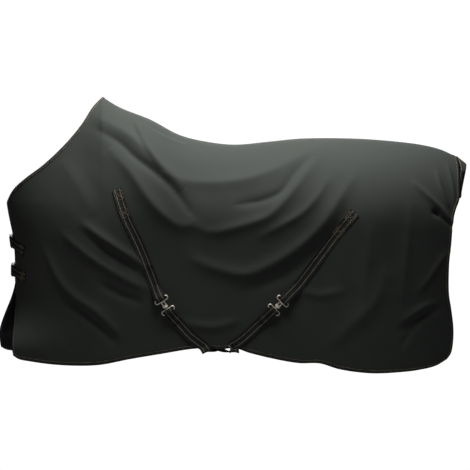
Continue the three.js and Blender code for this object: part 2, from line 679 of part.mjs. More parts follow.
// One surcingle: clasp on the left, under the belly, sewn on the right at the other end.
function addSurcingle(name, own, other, lower) {
  const [fx, fz] = own.clasp;
  const x = fx * RUG.length;
  const z = fz * RUG.drop;
  const normal = surfaceNormal(LEFT, x, z);
  const above = own.above[own.above.length - 1];
  const heading = vec((own.below[0][0] - above[0]) * RUG.length, 0, (own.below[0][1] - above[1]) * RUG.drop);
  const along = heading.addScaledVector(normal, -heading.dot(normal)).normalize();
  const clasp = placed(onCloth(LEFT, x, z, CLASP.height), along, normal);

  const tabStops = clothStops(LEFT, own.above);
  const nearFlank = clothStops(LEFT, own.below);
  const inset = lower ? -0.008 : 0.008;
  const belly = bellyStops(own.below[2][0] + 0.008, other.below[2][0] + inset, lower);
  const farShares = [...other.above, other.clasp, ...other.below].reverse();
  const standOff = 3.4; // the strap comes down from the hem onto the flank
  const farFlank = clothStops(RIGHT, farShares, 36, (t) => WEB.lift + standOff * smooth(t * 8));
  const strapName = name.replace('surcingle', 'belly_strap');
  addClasp(name, clasp, tabStops, [...nearFlank, ...belly, ...farFlank], strapName);

  const spot = Math.floor(farFlank.length * 0.55);
  const spotNode = farFlank[spot];
  const forward = farFlank[spot + 1].p.clone().sub(farFlank[spot - 1].p).normalize();
  const face = spotNode.w.clone().cross(forward).normalize();
  if (face.y < 0) face.negate();
  const adjuster = placed(spotNode.p, forward, face);
  add(adjuster, `${strapName}_adjuster`, adjusterBody(), nickel);
}

// A three-bar slide whose middle bar lies under the strap and outer bars over it.
function adjusterBody() {
  const { bar, barHeight, pitch, cheek, webClearance, sideGap } = ADJUSTER;
  const innerHalf = WEB.width / 2 + sideGap;
  const rise = WEB.thickness / 2 + webClearance + barHeight / 2;
  const across = 2 * (innerHalf + cheek);
  const outer = [-pitch, pitch].map((x) =>
    new THREE.BoxGeometry(bar, across, barHeight).translate(x, 0, rise));
  const middle = new THREE.BoxGeometry(bar, across, barHeight).translate(0, 0, -rise);
  const cheeks = [-1, 1].map((side) =>
    new THREE.BoxGeometry(2 * pitch + bar, cheek, 2 * rise + barHeight)
      .translate(0, side * (innerHalf + cheek / 2), 0));
  return joined(...outer, middle, ...cheeks);
}

// ---------------------------------------------------------------- leg-strap rings
function addLegRing(name, side) {
  const x = 0.563 * RUG.length;
  const z = -0.735 * RUG.drop;
  const inward = surfaceNormal(side, x, z).negate();
  const down = vec(0, 0, -1);
  down.addScaledVector(inward, -down.dot(inward)).normalize();
  const lining = onCloth(side, x, z, -stack);
  const frame = placed(lining, down, inward);
  const { inner, depth, wire, plate, webWidth, tabLength } = LEG_RING;
  const half = inner / 2 + wire / 2;
  const barX = tabLength;
  const barZ = 3.2 + WEB.thickness + plate / 2;
  const outline = [];
  for (let k = 0; k <= 12; k += 1) {
    const angle = Math.PI * (k / 12);
    outline.push(vec(barX + (depth + wire) * Math.sin(angle) ** 0.8, -half * Math.cos(angle), barZ));
  }
  const section = [[-wire / 2, -plate / 2], [wire / 2, -plate / 2], [wire / 2, plate / 2],
    [-wire / 2, plate / 2]];
  add(frame, `leg_ring_${name}`, wireRing(outline, vec(0, 0, 1), section), nickel);

  const clear = Math.hypot(wire, plate) / 2 + 0.4 + WEB.thickness / 2;
  const nose = barX + wire / 2 + 1.4;
  const profile = [[0, 1.9], [barX - 14, 2.2], [barX - 3, barZ - clear], [barX + 2, barZ - clear],
    [nose + 0.8, barZ - 0.6 * clear], [nose + 1.4, barZ], [nose + 0.8, barZ + 0.6 * clear],
    [barX + 2, barZ + clear], [barX - 3, barZ + clear],
    [barX - 14, 2.2 + WEB.thickness + 1.1], [6, 1.9 + WEB.thickness + 0.6]];
  const stops = profile.map(([a, h]) => ({ p: vec(a, 0, h), w: vec(0, 1, 0) }));
  add(frame, `leg_ring_tab_${name}`, ribbonBody(stops, webWidth), webbing);
}

// ---------------------------------------------------------------- the rug
addPanels('left', LEFT);
addPanels('right', RIGHT);
addTailFlap();
addChestClosure('upper_chest', -0.48, -0.523);
addChestClosure('lower_chest', -0.627, -0.654);
addSurcingle('front_surcingle', SURCINGLES.front, SURCINGLES.rear, 0);
addSurcingle('rear_surcingle', SURCINGLES.rear, SURCINGLES.front, CROSSING.apart);
addLegRing('left', LEFT);
addLegRing('right', RIGHT);

export default rug;
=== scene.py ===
"""A horse's turnout rug: cloth, tapes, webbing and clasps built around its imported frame.

The cloth is worked out in the side view, between the same outline curves as the frame:
X runs to the tail, -Y is the horse's left side and Z is up, in metres. A height over the
middle plane gives the barrel of the horse, and folds are pushed in and out of that shape.
"""

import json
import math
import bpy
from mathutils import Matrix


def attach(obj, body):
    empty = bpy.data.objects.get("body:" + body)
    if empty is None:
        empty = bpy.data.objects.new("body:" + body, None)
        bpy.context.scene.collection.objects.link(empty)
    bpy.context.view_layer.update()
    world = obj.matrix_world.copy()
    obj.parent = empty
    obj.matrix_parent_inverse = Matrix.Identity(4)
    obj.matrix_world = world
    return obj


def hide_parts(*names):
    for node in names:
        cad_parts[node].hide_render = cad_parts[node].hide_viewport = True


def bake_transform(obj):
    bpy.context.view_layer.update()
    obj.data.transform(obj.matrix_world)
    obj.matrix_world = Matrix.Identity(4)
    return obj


bl_info = {
    "name": "Turnout rug",
    "version": (1, 0, 0),
    "blender": (4, 5, 0),
    "location": "3D View > Sidebar > Rug",
    "description": "Builds a horse's turnout rug, piece by piece, around its packed frame",
    "category": "Add Mesh",
}

from collections import namedtuple

import bmesh
import bpy
import numpy as np
from bpy.props import FloatProperty, FloatVectorProperty, PointerProperty
from mathutils import Matrix, Vector, noise

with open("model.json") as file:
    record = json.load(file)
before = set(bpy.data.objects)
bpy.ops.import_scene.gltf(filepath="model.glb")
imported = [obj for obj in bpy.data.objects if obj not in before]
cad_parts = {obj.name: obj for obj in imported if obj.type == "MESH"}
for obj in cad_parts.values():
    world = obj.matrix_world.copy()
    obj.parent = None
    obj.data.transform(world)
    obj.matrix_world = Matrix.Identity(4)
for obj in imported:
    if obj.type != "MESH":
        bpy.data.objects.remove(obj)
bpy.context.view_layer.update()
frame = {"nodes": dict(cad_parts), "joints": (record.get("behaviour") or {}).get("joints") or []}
JOINTS = {joint["name"]: joint for joint in frame["joints"]}

LEFT, RIGHT = -1, 1
SIDES = {"left": LEFT, "right": RIGHT}

# ------------------------------------------------------------------ driving sizes, metres
LENGTH = 1.358  # withers to dock
DROP = 0.750  # spine to hem at the middle of the side
HALF_WIDTH = 0.308
CROWN_DEPTH = 0.330
CHEST_ROUND = 0.330
RUMP_ROUND = 0.520
RUMP_PAST = 0.148
FRONT_GAP = 0.012
FRONT_SPREAD = 0.168
FAR_FLAP_KICK = 0.074

SHELL = 0.0012
WADDING = 0.005
LINING = 0.0008
LAYER_GAP = 0.0004
STACK = SHELL + WADDING + LINING + 2 * LAYER_GAP
EDGE_LOFT = 0.25  # share of the wadding's thickness left where the edge tape is sewn on
EDGE_TAPER = 0.022

TAPE_WIDTH = 0.011
TAPE = 0.0009
TAPE_CLEAR = 0.0004
TAPE_NOSE = 0.0016  # how far the tape's fold stands out past the cloth's edge

WEB_WIDTH = 0.038
WEB = 0.0016
WEB_LIFT = 0.0019  # middle of the webbing over the cloth that it is sewn to

BAR_REACH = 0.016
LOOP_DEPTH = 0.014
LOOP_HALF_WIDTH = 0.0255
WIRE = 0.002
HOOK_DROP = 0.004
LIP_REACH = 0.007
HEAD_STRETCH = 0.0044  # each half of the hook's round head is drawn out by this

RING_WIRE = 0.0018
RING_HALF_WIDTH = 0.0163
RING_DEPTH = 0.0258
RING_WEB_WIDTH = 0.025
RING_TAB_LENGTH = 0.036
RING_BAR_HEIGHT = 0.0064  # bar's middle over the lining

ALONG, DOWN, CORNER_ROW = 240, 112, 72
WADDING_LENGTHS = {"shoulder": (0, 84), "barrel": (84, 168), "quarters": (168, ALONG)}

FLAP_TOP, FLAP_FOOT, FLAP_LENGTH, FLAP_OVERHANG = 0.104, 0.130, 0.152, 0.043
FLAP_START = 0.0072  # flap's top edge behind the end of the spine
FLAP_CLOTH = 0.0026

# ------------------------------------------------------------------ outline, as shares
WITHERS = (-0.372, 0.24)
CHEST_POINT = (-0.641, -0.299)
FRONT_CORNER = (-0.617, -1.052)
REAR_CORNER = (0.577, -1.076)
DOCK = (0.628, -0.059)
SPINE = [WITHERS, (-0.325, 0.189), (-0.24, 0.128), (-0.155, 0.048), (-0.071, 0.012), (0, 0),
         (0.099, 0.016), (0.185, 0.031), (0.309, 0.033), (0.412, 0.024), (0.527, 0.001),
         (0.585, -0.024), DOCK]
NECKLINE = [WITHERS, (-0.394, 0.195), (-0.429, 0.094), (-0.474, -0.006), (-0.532, -0.106),
            (-0.582, -0.173), (-0.619, -0.231), CHEST_POINT]
FRONT_EDGE = [CHEST_POINT, (-0.635, -0.37), (-0.623, -0.477), (-0.619, -0.584),
              (-0.619, -0.677), (-0.617, -0.784), (-0.617, -0.891), (-0.62, -0.997),
              FRONT_CORNER]
HEM = [FRONT_CORNER, (-0.602, -1.067), (-0.569, -1.077), (-0.514, -1.088), (-0.446, -1.092),
       (-0.377, -1.085), (-0.296, -1.055), (-0.214, -1.029), (-0.134, -1.005),
       (-0.093, -1.0), (-0.053, -1.006), (-0.012, -1.0), (0.029, -1.024), (0.11, -1.059),
       (0.164, -1.075),
       (0.219, -1.077), (0.274, -1.107), (0.356, -1.128), (0.44, -1.127), (0.497, -1.119),
       (0.546, -1.103), REAR_CORNER]
REAR_EDGE = [DOCK, (0.625, -0.131), (0.621, -0.211), (0.617, -0.277), (0.605, -0.324),
             (0.598, -0.36), (0.593, -0.411), (0.588, -0.507), (0.582, -0.605),
             (0.582, -0.755), (0.589, -0.824), (0.596, -0.917), (0.595, -0.997),
             (0.588, -1.051), REAR_CORNER]
WIDTH_SHARES = [(-0.64, 0.65), (-0.5, 0.73), (-0.35, 0.85), (-0.2, 0.94), (0, 0.99), (0.2, 1),
                (0.35, 0.98), (0.5, 0.92), (0.63, 0.85)]

# A fold of the cloth: crest height and half width in millimetres, then the line that it
# follows, as shares of length and drop. A negative height is a furrow.
Fold = namedtuple("Fold", "height width line")
FOLDS = [
    # withers and shoulder, sloping down and back
    Fold(10, 24, [(-0.383, 0.138), (-0.317, 0.072), (-0.262, -0.003), (-0.219, -0.082),
                  (-0.181, -0.151), (-0.154, -0.22)]),
    Fold(-9, 15, [(-0.391, 0.087), (-0.325, 0.017), (-0.284, -0.053), (-0.233, -0.122),
                  (-0.181, -0.205), (-0.144, -0.298), (-0.128, -0.342)]),
    Fold(10, 27, [(-0.355, -0.013), (-0.295, -0.131), (-0.246, -0.259), (-0.201, -0.347),
                  (-0.155, -0.396), (-0.117, -0.376)]),
    Fold(5, 12, [(-0.293, 0.168), (-0.273, 0.088), (-0.246, -0.013), (-0.214, -0.102),
                 (-0.187, -0.161)]),
    Fold(-5, 10, [(-0.304, 0.167), (-0.284, 0.088), (-0.262, 0.002), (-0.235, -0.072)]),
    Fold(-6, 11, [(-0.296, 0.151), (-0.254, 0.121), (-0.213, 0.075), (-0.163, 0.04),
                  (-0.101, 0.021)]),
    Fold(5, 10, [(-0.268, 0.12), (-0.227, 0.074), (-0.18, 0.029), (-0.13, -0.001)]),
    # back and loins, swagged between the withers and the croup
    Fold(11, 30, [(-0.214, -0.131), (-0.159, -0.171), (-0.078, -0.186), (0.018, -0.171),
                  (0.101, -0.121), (0.186, -0.046), (0.245, -0.005)]),
    Fold(8, 20, [(0.227, -0.056), (0.184, -0.141), (0.13, -0.259), (0.078, -0.347),
                 (0.002, -0.396), (-0.074, -0.425), (-0.12, -0.396)]),
    Fold(-7, 15, [(0.205, -0.046), (0.157, -0.131), (0.112, -0.23), (0.062, -0.269),
                  (-0.011, -0.293)]),
    Fold(6, 15, [(0.247, -0.156), (0.214, -0.249), (0.17, -0.332), (0.11, -0.396),
                 (0.05, -0.454)]),
    Fold(10, 23, [(0.316, -0.151), (0.269, -0.274), (0.224, -0.391), (0.159, -0.499),
                  (0.083, -0.587), (0.015, -0.631), (-0.066, -0.601), (-0.133, -0.552)]),
    Fold(-6, 18, [(0.293, -0.308), (0.249, -0.435), (0.181, -0.563), (0.097, -0.661),
                  (0.015, -0.709)]),
    # point of the shoulder and breast
    Fold(8, 15, [(-0.431, -0.377), (-0.358, -0.47), (-0.295, -0.543), (-0.247, -0.602)]),
    Fold(-6, 11, [(-0.42, -0.426), (-0.36, -0.519), (-0.301, -0.587), (-0.258, -0.636)]),
    Fold(7, 15, [(-0.48, -0.437), (-0.415, -0.534), (-0.358, -0.603), (-0.285, -0.676),
                 (-0.241, -0.71)]),
    Fold(-6, 12, [(-0.382, -0.677), (-0.317, -0.735), (-0.263, -0.774)]),
    Fold(8, 17, [(-0.529, -0.516), (-0.494, -0.649), (-0.453, -0.742), (-0.388, -0.82),
                 (-0.328, -0.932)]),
    Fold(-8, 13, [(-0.478, -0.752), (-0.432, -0.811), (-0.377, -0.889), (-0.334, -0.967)]),
    Fold(4, 34, [(-0.486, -0.072), (-0.431, -0.22), (-0.393, -0.347)]),
    # under the girth
    Fold(5, 12, [(-0.155, -0.866), (-0.074, -0.891), (0.002, -0.856)]),
    # quarters, fanning down from the dock
    Fold(7, 11, [(0.478, -0.176), (0.522, -0.251), (0.56, -0.316), (0.595, -0.386)]),
    Fold(-9, 9, [(0.533, -0.323), (0.545, -0.335), (0.556, -0.349)]),
    Fold(-6, 5, [(0.541, -0.33), (0.556, -0.349), (0.576, -0.376), (0.597, -0.412)]),
    Fold(5, 9, [(0.553, -0.121), (0.563, -0.211), (0.584, -0.311)]),
    Fold(4, 9, [(0.59, -0.085), (0.598, -0.181), (0.604, -0.287)]),
    Fold(6, 11, [(0.446, -0.873), (0.483, -0.83), (0.521, -0.792), (0.584, -0.756)]),
    Fold(-6, 10, [(0.44, -0.917), (0.48, -0.869), (0.527, -0.827), (0.581, -0.791)]),
    Fold(-4, 10, [(0.443, -1.001), (0.469, -0.918), (0.509, -0.841)]),
    Fold(4, 11, [(0.583, -0.521), (0.55, -0.594), (0.521, -0.668), (0.491, -0.726)]),
    Fold(4, 30, [(0.361, -0.392), (0.345, -0.613), (0.334, -0.884)]),
    Fold(3.5, 24, [(0.475, -0.27), (0.459, -0.517), (0.446, -0.764)]),
    Fold(4, 11, [(0.164, -0.71), (0.219, -0.735), (0.287, -0.711)]),
    Fold(5, 30, [(0.247, -0.982), (0.307, -0.884), (0.373, -0.761), (0.4, -0.604)]),
]

SURCINGLES = {
    "front": {
        "above": [(-0.33, -0.216), (-0.309, -0.338), (-0.268, -0.5), (-0.228, -0.686)],
        "clasp": (-0.201, -0.783),
        "below": [(-0.163, -0.872), (-0.134, -0.93), (-0.096, -0.985)],
    },
    "rear": {
        "above": [(0.314, -0.329), (0.273, -0.417), (0.218, -0.549), (0.164, -0.677)],
        "clasp": (0.105, -0.784),
        "below": [(0.055, -0.872), (0.004, -0.955), (-0.022, -0.985)],
    },
}
CROSSING_X, CROSSING_DROP, CROSSING_APART = -0.05, 1.022, 0.005
CHEST_TABS = {"upper_chest": (-0.48, -0.523), "lower_chest": (-0.627, -0.654)}
CHEST_TAB_LENGTH = 0.046
ADJUSTER_REACH = 0.045  # strap length that the adjuster lifts, each way
ADJUSTER_LIFT = 0.0076
LEG_RING_SPOT = (0.563, -0.735)


# ------------------------------------------------------------------ user settings
class RugClothSettings(bpy.types.PropertyGroup):
    """How deep the cloth folds and how fine its threads are."""

    fold_depth: FloatProperty(
        name="Fold depth", description="Multiplies the height of every fold", default=1.1,
        min=0.0, max=1.6)
    ripple: FloatProperty(
        name="Ripple", description="Height of the soft unevenness between folds",
        default=0.0022, unit="LENGTH")
    thread: FloatProperty(
        name="Thread pitch", description="Distance between the shell's coarse threads",
        default=0.0013, unit="LENGTH")
    stitch: FloatProperty(
        name="Stitch pitch", description="Distance from one stitch to the next",
        default=0.0052, unit="LENGTH")


def colour_property(name, description, value):
    return FloatVectorProperty(
        name=name, description=description, subtype="COLOR", size=3, min=0.0, max=1.0,
        default=value)


class RugColourSettings(bpy.types.PropertyGroup):
    """Colours of the rug's cloths, threads and metal."""

    shell: colour_property("Shell", "Coated outer cloth", (0.0100, 0.0112, 0.0090))
    lining: colour_property("Lining", "Smooth inner cloth", (0.0045, 0.0052, 0.0045))
    wadding: colour_property("Wadding", "Fibre filling", (0.62, 0.60, 0.55))
    tape: colour_property("Edge tape", "Woven tape round the edges", (0.007, 0.007, 0.006))
    webbing: colour_property("Webbing", "Ground of the straps", (0.005, 0.005, 0.0045))
    stripe: colour_property("Pinstripe", "Two stripes along the straps", (0.27, 0.24, 0.165))
    thread: colour_property("Thread", "Contrast sewing thread", (0.33, 0.27, 0.175))
    metal: colour_property("Metal", "Plating of clasps and rings", (0.95, 0.87, 0.76))


class RugStudioSettings(bpy.types.PropertyGroup):
    """Camera and lights."""

    camera_distance: FloatProperty(
        name="Camera distance", description="From the middle of the rug", default=6.5,
        unit="LENGTH")
    camera_turn: FloatProperty(
        name="Camera turn", description="Round the rug, from square on", subtype="ANGLE",
        default=math.radians(-3.0))
    camera_rise: FloatProperty(
        name="Camera rise", description="Above level", subtype="ANGLE",
        default=math.radians(2.0))
    camera_aim: FloatProperty(
        name="Aim height", description="Height that the camera looks at", default=-0.340,
        unit="LENGTH")
    focal: FloatProperty(
        name="Focal length", description="In millimetres, on 36 mm film", default=129.3)
    overhead: FloatProperty(
        name="Overhead light", description="Power of the large lamp above", default=106.0,
        unit="POWER")
    front_fill: FloatProperty(
        name="Front fill", description="Power of the soft lamp before the chest", default=14.0,
        unit="POWER")
    rear_fill: FloatProperty(
        name="Rear fill", description="Power of the soft lamp behind the tail", default=3.5,
        unit="POWER")
    far_fill: FloatProperty(
        name="Far fill", description="Power of the soft lamp on the far side", default=60.0,
        unit="POWER")
    surround: FloatProperty(
        name="Surround", description="Strength of the light from all round", default=0.022)


# ------------------------------------------------------------------ lines and surface
def smooth(t):
    t = np.clip(t, 0.0, 1.0)
    return t * t * (3 - 2 * t)


def quarter_round(t):
    return np.sqrt(1 - (1 - np.clip(t, 0.0, 1.0)) ** 2)


def unit(vectors):
    return vectors / np.maximum(np.linalg.norm(vectors, axis=-1, keepdims=True), 1e-12)


def square_crosses(points):
    """Cross product of the diagonals of each square of a grid: its facing and twice its area."""
    return np.cross(points[1:, 1:] - points[:-1, :-1], points[:-1, 1:] - points[1:, :-1])


def grid_reach(points):
    """Distances over a grid's surface from its first row and from its first column."""
    steps = [np.diff(points, axis=0, prepend=points[:1]),
             np.diff(points, axis=1, prepend=points[:, :1])]
    return np.stack([np.cumsum(np.linalg.norm(step, axis=-1), axis=k)
                     for k, step in enumerate(steps)], axis=-1)


class Line:
    """A smooth line through points, read by its share of length."""

    def __init__(self, points, steps=40):
        given = np.array(points, float)
        ends = np.vstack([2 * given[0] - given[1], given, 2 * given[-1] - given[-2]])
        spans = [self.span(ends[k:k + 4], steps) for k in range(len(given) - 1)]
        self.points = np.vstack(spans + [given[-1:]])
        gaps = np.linalg.norm(np.diff(self.points, axis=0), axis=1)
        self.reach = np.concatenate([[0.0], np.cumsum(gaps)])
        self.length = self.reach[-1]

    @staticmethod
    def span(near, steps):
        """One stretch of a centripetal Catmull-Rom curve, without its last point."""
        p0, p1, p2, p3 = near
        d0, d1, d2 = (np.linalg.norm(b - a) ** 0.5 for a, b in ((p0, p1), (p1, p2), (p2, p3)))
        start = ((p1 - p0) / d0 - (p2 - p0) / (d0 + d1) + (p2 - p1) / d1) * d1
        finish = ((p2 - p1) / d1 - (p3 - p1) / (d1 + d2) + (p3 - p2) / d2) * d1
        t = (np.arange(steps) / steps)[:, None]
        return (p1 + start * t + (3 * (p2 - p1) - 2 * start - finish) * t ** 2
                + (2 * (p1 - p2) + start + finish) * t ** 3)

    def at(self, share):
        along = np.asarray(share, float) * self.length
        columns = [np.interp(along, self.reach, column) for column in self.points.T]
        return np.stack(columns, axis=-1)


def side_line(shares, lift=0.0):
    return Line(np.array(shares, float) * (LENGTH, DROP) + (0.0, lift))


spine = side_line(SPINE, STACK)
neckline = side_line(NECKLINE, STACK)
front_edge = side_line(FRONT_EDGE, STACK)
hem = side_line(HEM, STACK)
rear_edge = side_line(REAR_EDGE, STACK)
width_line = Line([(x * LENGTH, share) for x, share in WIDTH_SHARES])


def ridge_height(x):
    fall = 0.15 * np.maximum(0.0, WITHERS[0] * LENGTH - x)
    return np.interp(x, spine.points[:, 0], spine.points[:, 1]) - fall


def front_edge_x(z):
    return np.interp(-z, -front_edge.points[:, 1], front_edge.points[:, 0])


def front_half_gap(z):
    share = -z / DROP
    closed = FRONT_GAP * smooth((share - 0.2) / 0.08)
    return closed + (FRONT_SPREAD - FRONT_GAP) * smooth((share - 0.71) / 0.31)


def bulge(x, z):
    """Reach of one side from the middle plane."""
    depth = ridge_height(x) - z
    sharpness = 0.09 * smooth((-x / LENGTH - 0.15) / 0.2)
    over_back = quarter_round(depth / (CROWN_DEPTH + sharpness))
    neck = smooth((-x / LENGTH - 0.25) / 0.2) * smooth((z / DROP + 0.5) / 0.55)
    flare = 1 + 0.03 * smooth((depth - CROWN_DEPTH) / DROP)
    quarters = quarter_round((DOCK[0] * LENGTH + RUMP_PAST - x) / RUMP_ROUND)
    width = np.interp(x, width_line.points[:, 0], width_line.points[:, 1])
    body = HALF_WIDTH * width * (1 - 0.25 * neck) * flare * over_back * quarters
    behind = np.clip((x - front_edge_x(z)) / CHEST_ROUND, 0.0, 1.0)
    chest = (1 - (1 - behind) ** 2) ** (1 / 2.6)
    edge = front_half_gap(z)
    return np.sqrt(edge ** 2 + np.maximum(0.0, body ** 2 - edge ** 2) * chest ** 2)


def side_point(u, v):
    """Side-view place in a panel: u runs front to rear, v runs spine to hem."""
    u, v = u[:, None, None], v[None, :, None]
    front = np.where(v < 0.5, neckline.at(2 * v[..., 0]), front_edge.at(2 * v[..., 0] - 1))
    rear = rear_edge.at(v[..., 0])
    top, foot = spine.at(u[..., 0]), hem.at(u[..., 0])
    corners = ((1 - u) * (1 - v) * spine.at(0) + u * (1 - v) * spine.at(1)
               + (1 - u) * v * hem.at(0) + u * v * hem.at(1))
    return (1 - u) * front + u * rear + (1 - v) * top + v * foot - corners


def grid_normals(points, sign):
    """Mean of the facing of the squares round each point, smoothed a little."""
    square = unit(square_crosses(points))
    padded = np.pad(square, ((1, 1), (1, 1), (0, 0)), mode="edge")
    normals = padded[1:, 1:] + padded[:-1, 1:] + padded[1:, :-1] + padded[:-1, :-1]
    for _ in range(4):
        wide = np.pad(normals, ((1, 1), (1, 1), (0, 0)), mode="edge")
        normals = (4 * wide[1:-1, 1:-1] + wide[2:, 1:-1] + wide[:-2, 1:-1]
                   + wide[1:-1, 2:] + wide[1:-1, :-2])
        normals = unit(normals)
    return sign * normals


def fold_height(x, z, fold):
    """Height of one fold at places of the side view; it dies away at both ends."""
    line = side_line(fold.line)
    count = 48
    route = line.at(np.linspace(0, 1, count))
    nearest = np.full(x.shape, np.inf)
    share = np.zeros(x.shape)
    for k, (px, pz) in enumerate(route):
        distance = (x - px) ** 2 + (z - pz) ** 2
        closer = distance < nearest
        nearest = np.where(closer, distance, nearest)
        share = np.where(closer, k / (count - 1), share)
    fade = np.sin(np.pi * np.clip(share, 0.0, 1.0)) ** 0.6
    end_fade = 0.15 + 0.85 * fade
    width = fold.width / 1000
    return fold.height / 1000 * end_fade * np.exp(-(nearest / width ** 2) ** 0.72)


def ripple_height(x, z, side):
    """Soft unevenness, longer in the direction in which the cloth hangs."""
    flat = np.stack([x.ravel(), z.ravel()], axis=-1)
    height = np.empty(len(flat))
    for k, (px, pz) in enumerate(flat):
        broad = noise.noise(Vector((px * 8.0, pz * 5.0, 3.1 * side)))
        fine = noise.noise(Vector((px * 23.0 + pz * 9.0, pz * 12.0 - px * 6.0, 7.7 * side)))
        height[k] = broad + 0.35 * fine
    return height.reshape(x.shape)


def quiet_places():
    """Places where fastenings lie flat on the cloth: side-view place and radius."""
    clasps = [(*SURCINGLES[end]["clasp"], 0.075) for end in SURCINGLES]
    chest = [(-0.60, height, 0.085) for height, _ in CHEST_TABS.values()]
    rings = [(*LEG_RING_SPOT, 0.07)]
    return clasps + chest + rings


def relief(x, z, side):
    """How far the cloth stands out of the plain shape, along its normal."""
    cloth = bpy.context.scene.rug_cloth
    total = cloth.ripple * ripple_height(x, z, side)
    for number, fold in enumerate(FOLDS):
        change = 1.0 if side == LEFT else 0.75 + 0.4 * math.sin(2.3 * number + 1.0)
        total = total + change * fold_height(x, z, fold) * cloth.fold_depth
    depth = ridge_height(x) - z
    total = total * smooth(depth / 0.05)
    for fx, fz, radius in quiet_places():
        away = np.hypot(x - fx * LENGTH, z - fz * DROP)
        total = total * smooth((away - 0.35 * radius) / radius)
    return total


Panel = namedtuple("Panel", "points normals uv")
panels = {}


def panel(side):
    """The outer face of one half of the rug, with its folds."""
    if side in panels:
        return panels[side]
    t = np.arange(ALONG + 1) / ALONG
    u = t ** 1.6 * (1 - t) + (1 - (1 - t) ** 1.3) * t
    v = (np.arange(DOWN + 1) / DOWN) ** (math.log(0.5) / math.log(CORNER_ROW / DOWN))
    flat = side_point(u, v)
    x, z = flat[..., 0], flat[..., 1]
    low = smooth((-z / DROP - 0.66) / 0.32)
    forward = smooth((-x / LENGTH - 0.44) / 0.17)
    kick = FAR_FLAP_KICK * low * forward if side == RIGHT else 0.0
    plain = np.stack([x - kick, side * bulge(x, z), z], axis=-1)
    normals = grid_normals(plain, side)
    normals[:, 0, 1] = 0.0
    normals = unit(normals)
    points = plain + normals * relief(x, z, side)[..., None]
    panels[side] = Panel(points, normals, grid_reach(points))
    return panels[side]


def loft(half):
    """Share of the full wadding thickness: thin where the edge tape holds the layers."""
    along, down = half.uv[..., 0], half.uv[..., 1]
    rim = np.minimum(np.minimum(along, along[-1:] - along), down[:, -1:] - down)
    return EDGE_LOFT + (1 - EDGE_LOFT) * smooth(rim / EDGE_TAPER)


def surface_normal(side, x, z):
    step = 0.003
    slope_x = (bulge(x + step, z) - bulge(x - step, z)) / (2 * step)
    slope_z = (bulge(x, z + step) - bulge(x, z - step)) / (2 * step)
    return unit(np.stack([-slope_x, np.full(np.shape(x), float(side)), -slope_z], axis=-1))


def on_cloth(side, x, z, lift):
    """A point over the folded cloth, with the plain shape's normal."""
    normal = surface_normal(side, x, z)
    plain = np.stack([x, side * bulge(x, z), z], axis=-1)
    return plain + normal * (relief(x, z, side) + lift)[..., None], normal


# ------------------------------------------------------------------ making pieces
def piece_from(name, bm, finish, angle=50.0):
    """Turns a bmesh into a smooth-shaded object at the origin."""
    mesh = bpy.data.meshes.new(name)
    bm.to_mesh(mesh)
    bm.free()
    piece = bpy.data.objects.new(name, mesh)
    bpy.context.scene.collection.objects.link(piece)
    return dressed(piece, finish, angle)


def dressed(piece, finish, angle=50.0):
    mesh = piece.data
    mesh.polygons.foreach_set("use_smooth", [True] * len(mesh.polygons))
    mesh.set_sharp_from_angle(angle=math.radians(angle))
    mesh.materials.clear()
    mesh.materials.append(finish)
    return piece


def finished(piece, angle=50.0):
    """Applies the piece's modifiers, so that its mesh is final."""
    graph = bpy.context.evaluated_depsgraph_get()
    mesh = bpy.data.meshes.new_from_object(piece.evaluated_get(graph))
    piece.modifiers.clear()
    piece.data = mesh
    mesh.set_sharp_from_angle(angle=math.radians(angle))
    return piece


def cloth_grid(name, points, uv, facing, finish, thickness, offset=-1.0, loft_share=None):
    """A sheet laid over a grid of points, then given its thickness."""
    rows, across = points.shape[:2]
    bm = bmesh.new()
    bmesh.ops.create_grid(bm, x_segments=rows - 1, y_segments=across - 1, size=1.0)
    start = np.array([vertex.co[:2] for vertex in bm.verts])
    spread = start.max(0) - start.min(0)
    i, j = np.rint((start - start.min(0)) / spread * (rows - 1, across - 1)).astype(int).T
    mesh = bpy.data.meshes.new(name)
    bm.to_mesh(mesh)
    bm.free()
    mesh.vertices.foreach_set("co", points[i, j].astype(np.float32).ravel())
    mesh.update()
    corners = np.empty(len(mesh.loops), np.int32)
    mesh.loops.foreach_get("vertex_index", corners)
    layer = mesh.uv_layers[0] if mesh.uv_layers else mesh.uv_layers.new(name="UVMap")
    layer.data.foreach_set("uv", uv[i, j][corners].astype(np.float32).ravel())
    middle = mesh.polygons[len(mesh.polygons) // 2]
    if middle.normal.dot(Vector(facing)) < 0:
        mesh.flip_normals()
    piece = bpy.data.objects.new(name, mesh)
    bpy.context.scene.collection.objects.link(piece)
    dressed(piece, finish)
    solid = piece.modifiers.new("thickness", "SOLIDIFY")
    solid.thickness = thickness
    solid.offset = offset
    if loft_share is not None:
        group = piece.vertex_groups.new(name="loft")
        for vertex, weight in enumerate(loft_share[i, j]):
            group.add([vertex], float(weight), "REPLACE")
        solid.vertex_group = "loft"
    return finished(piece)


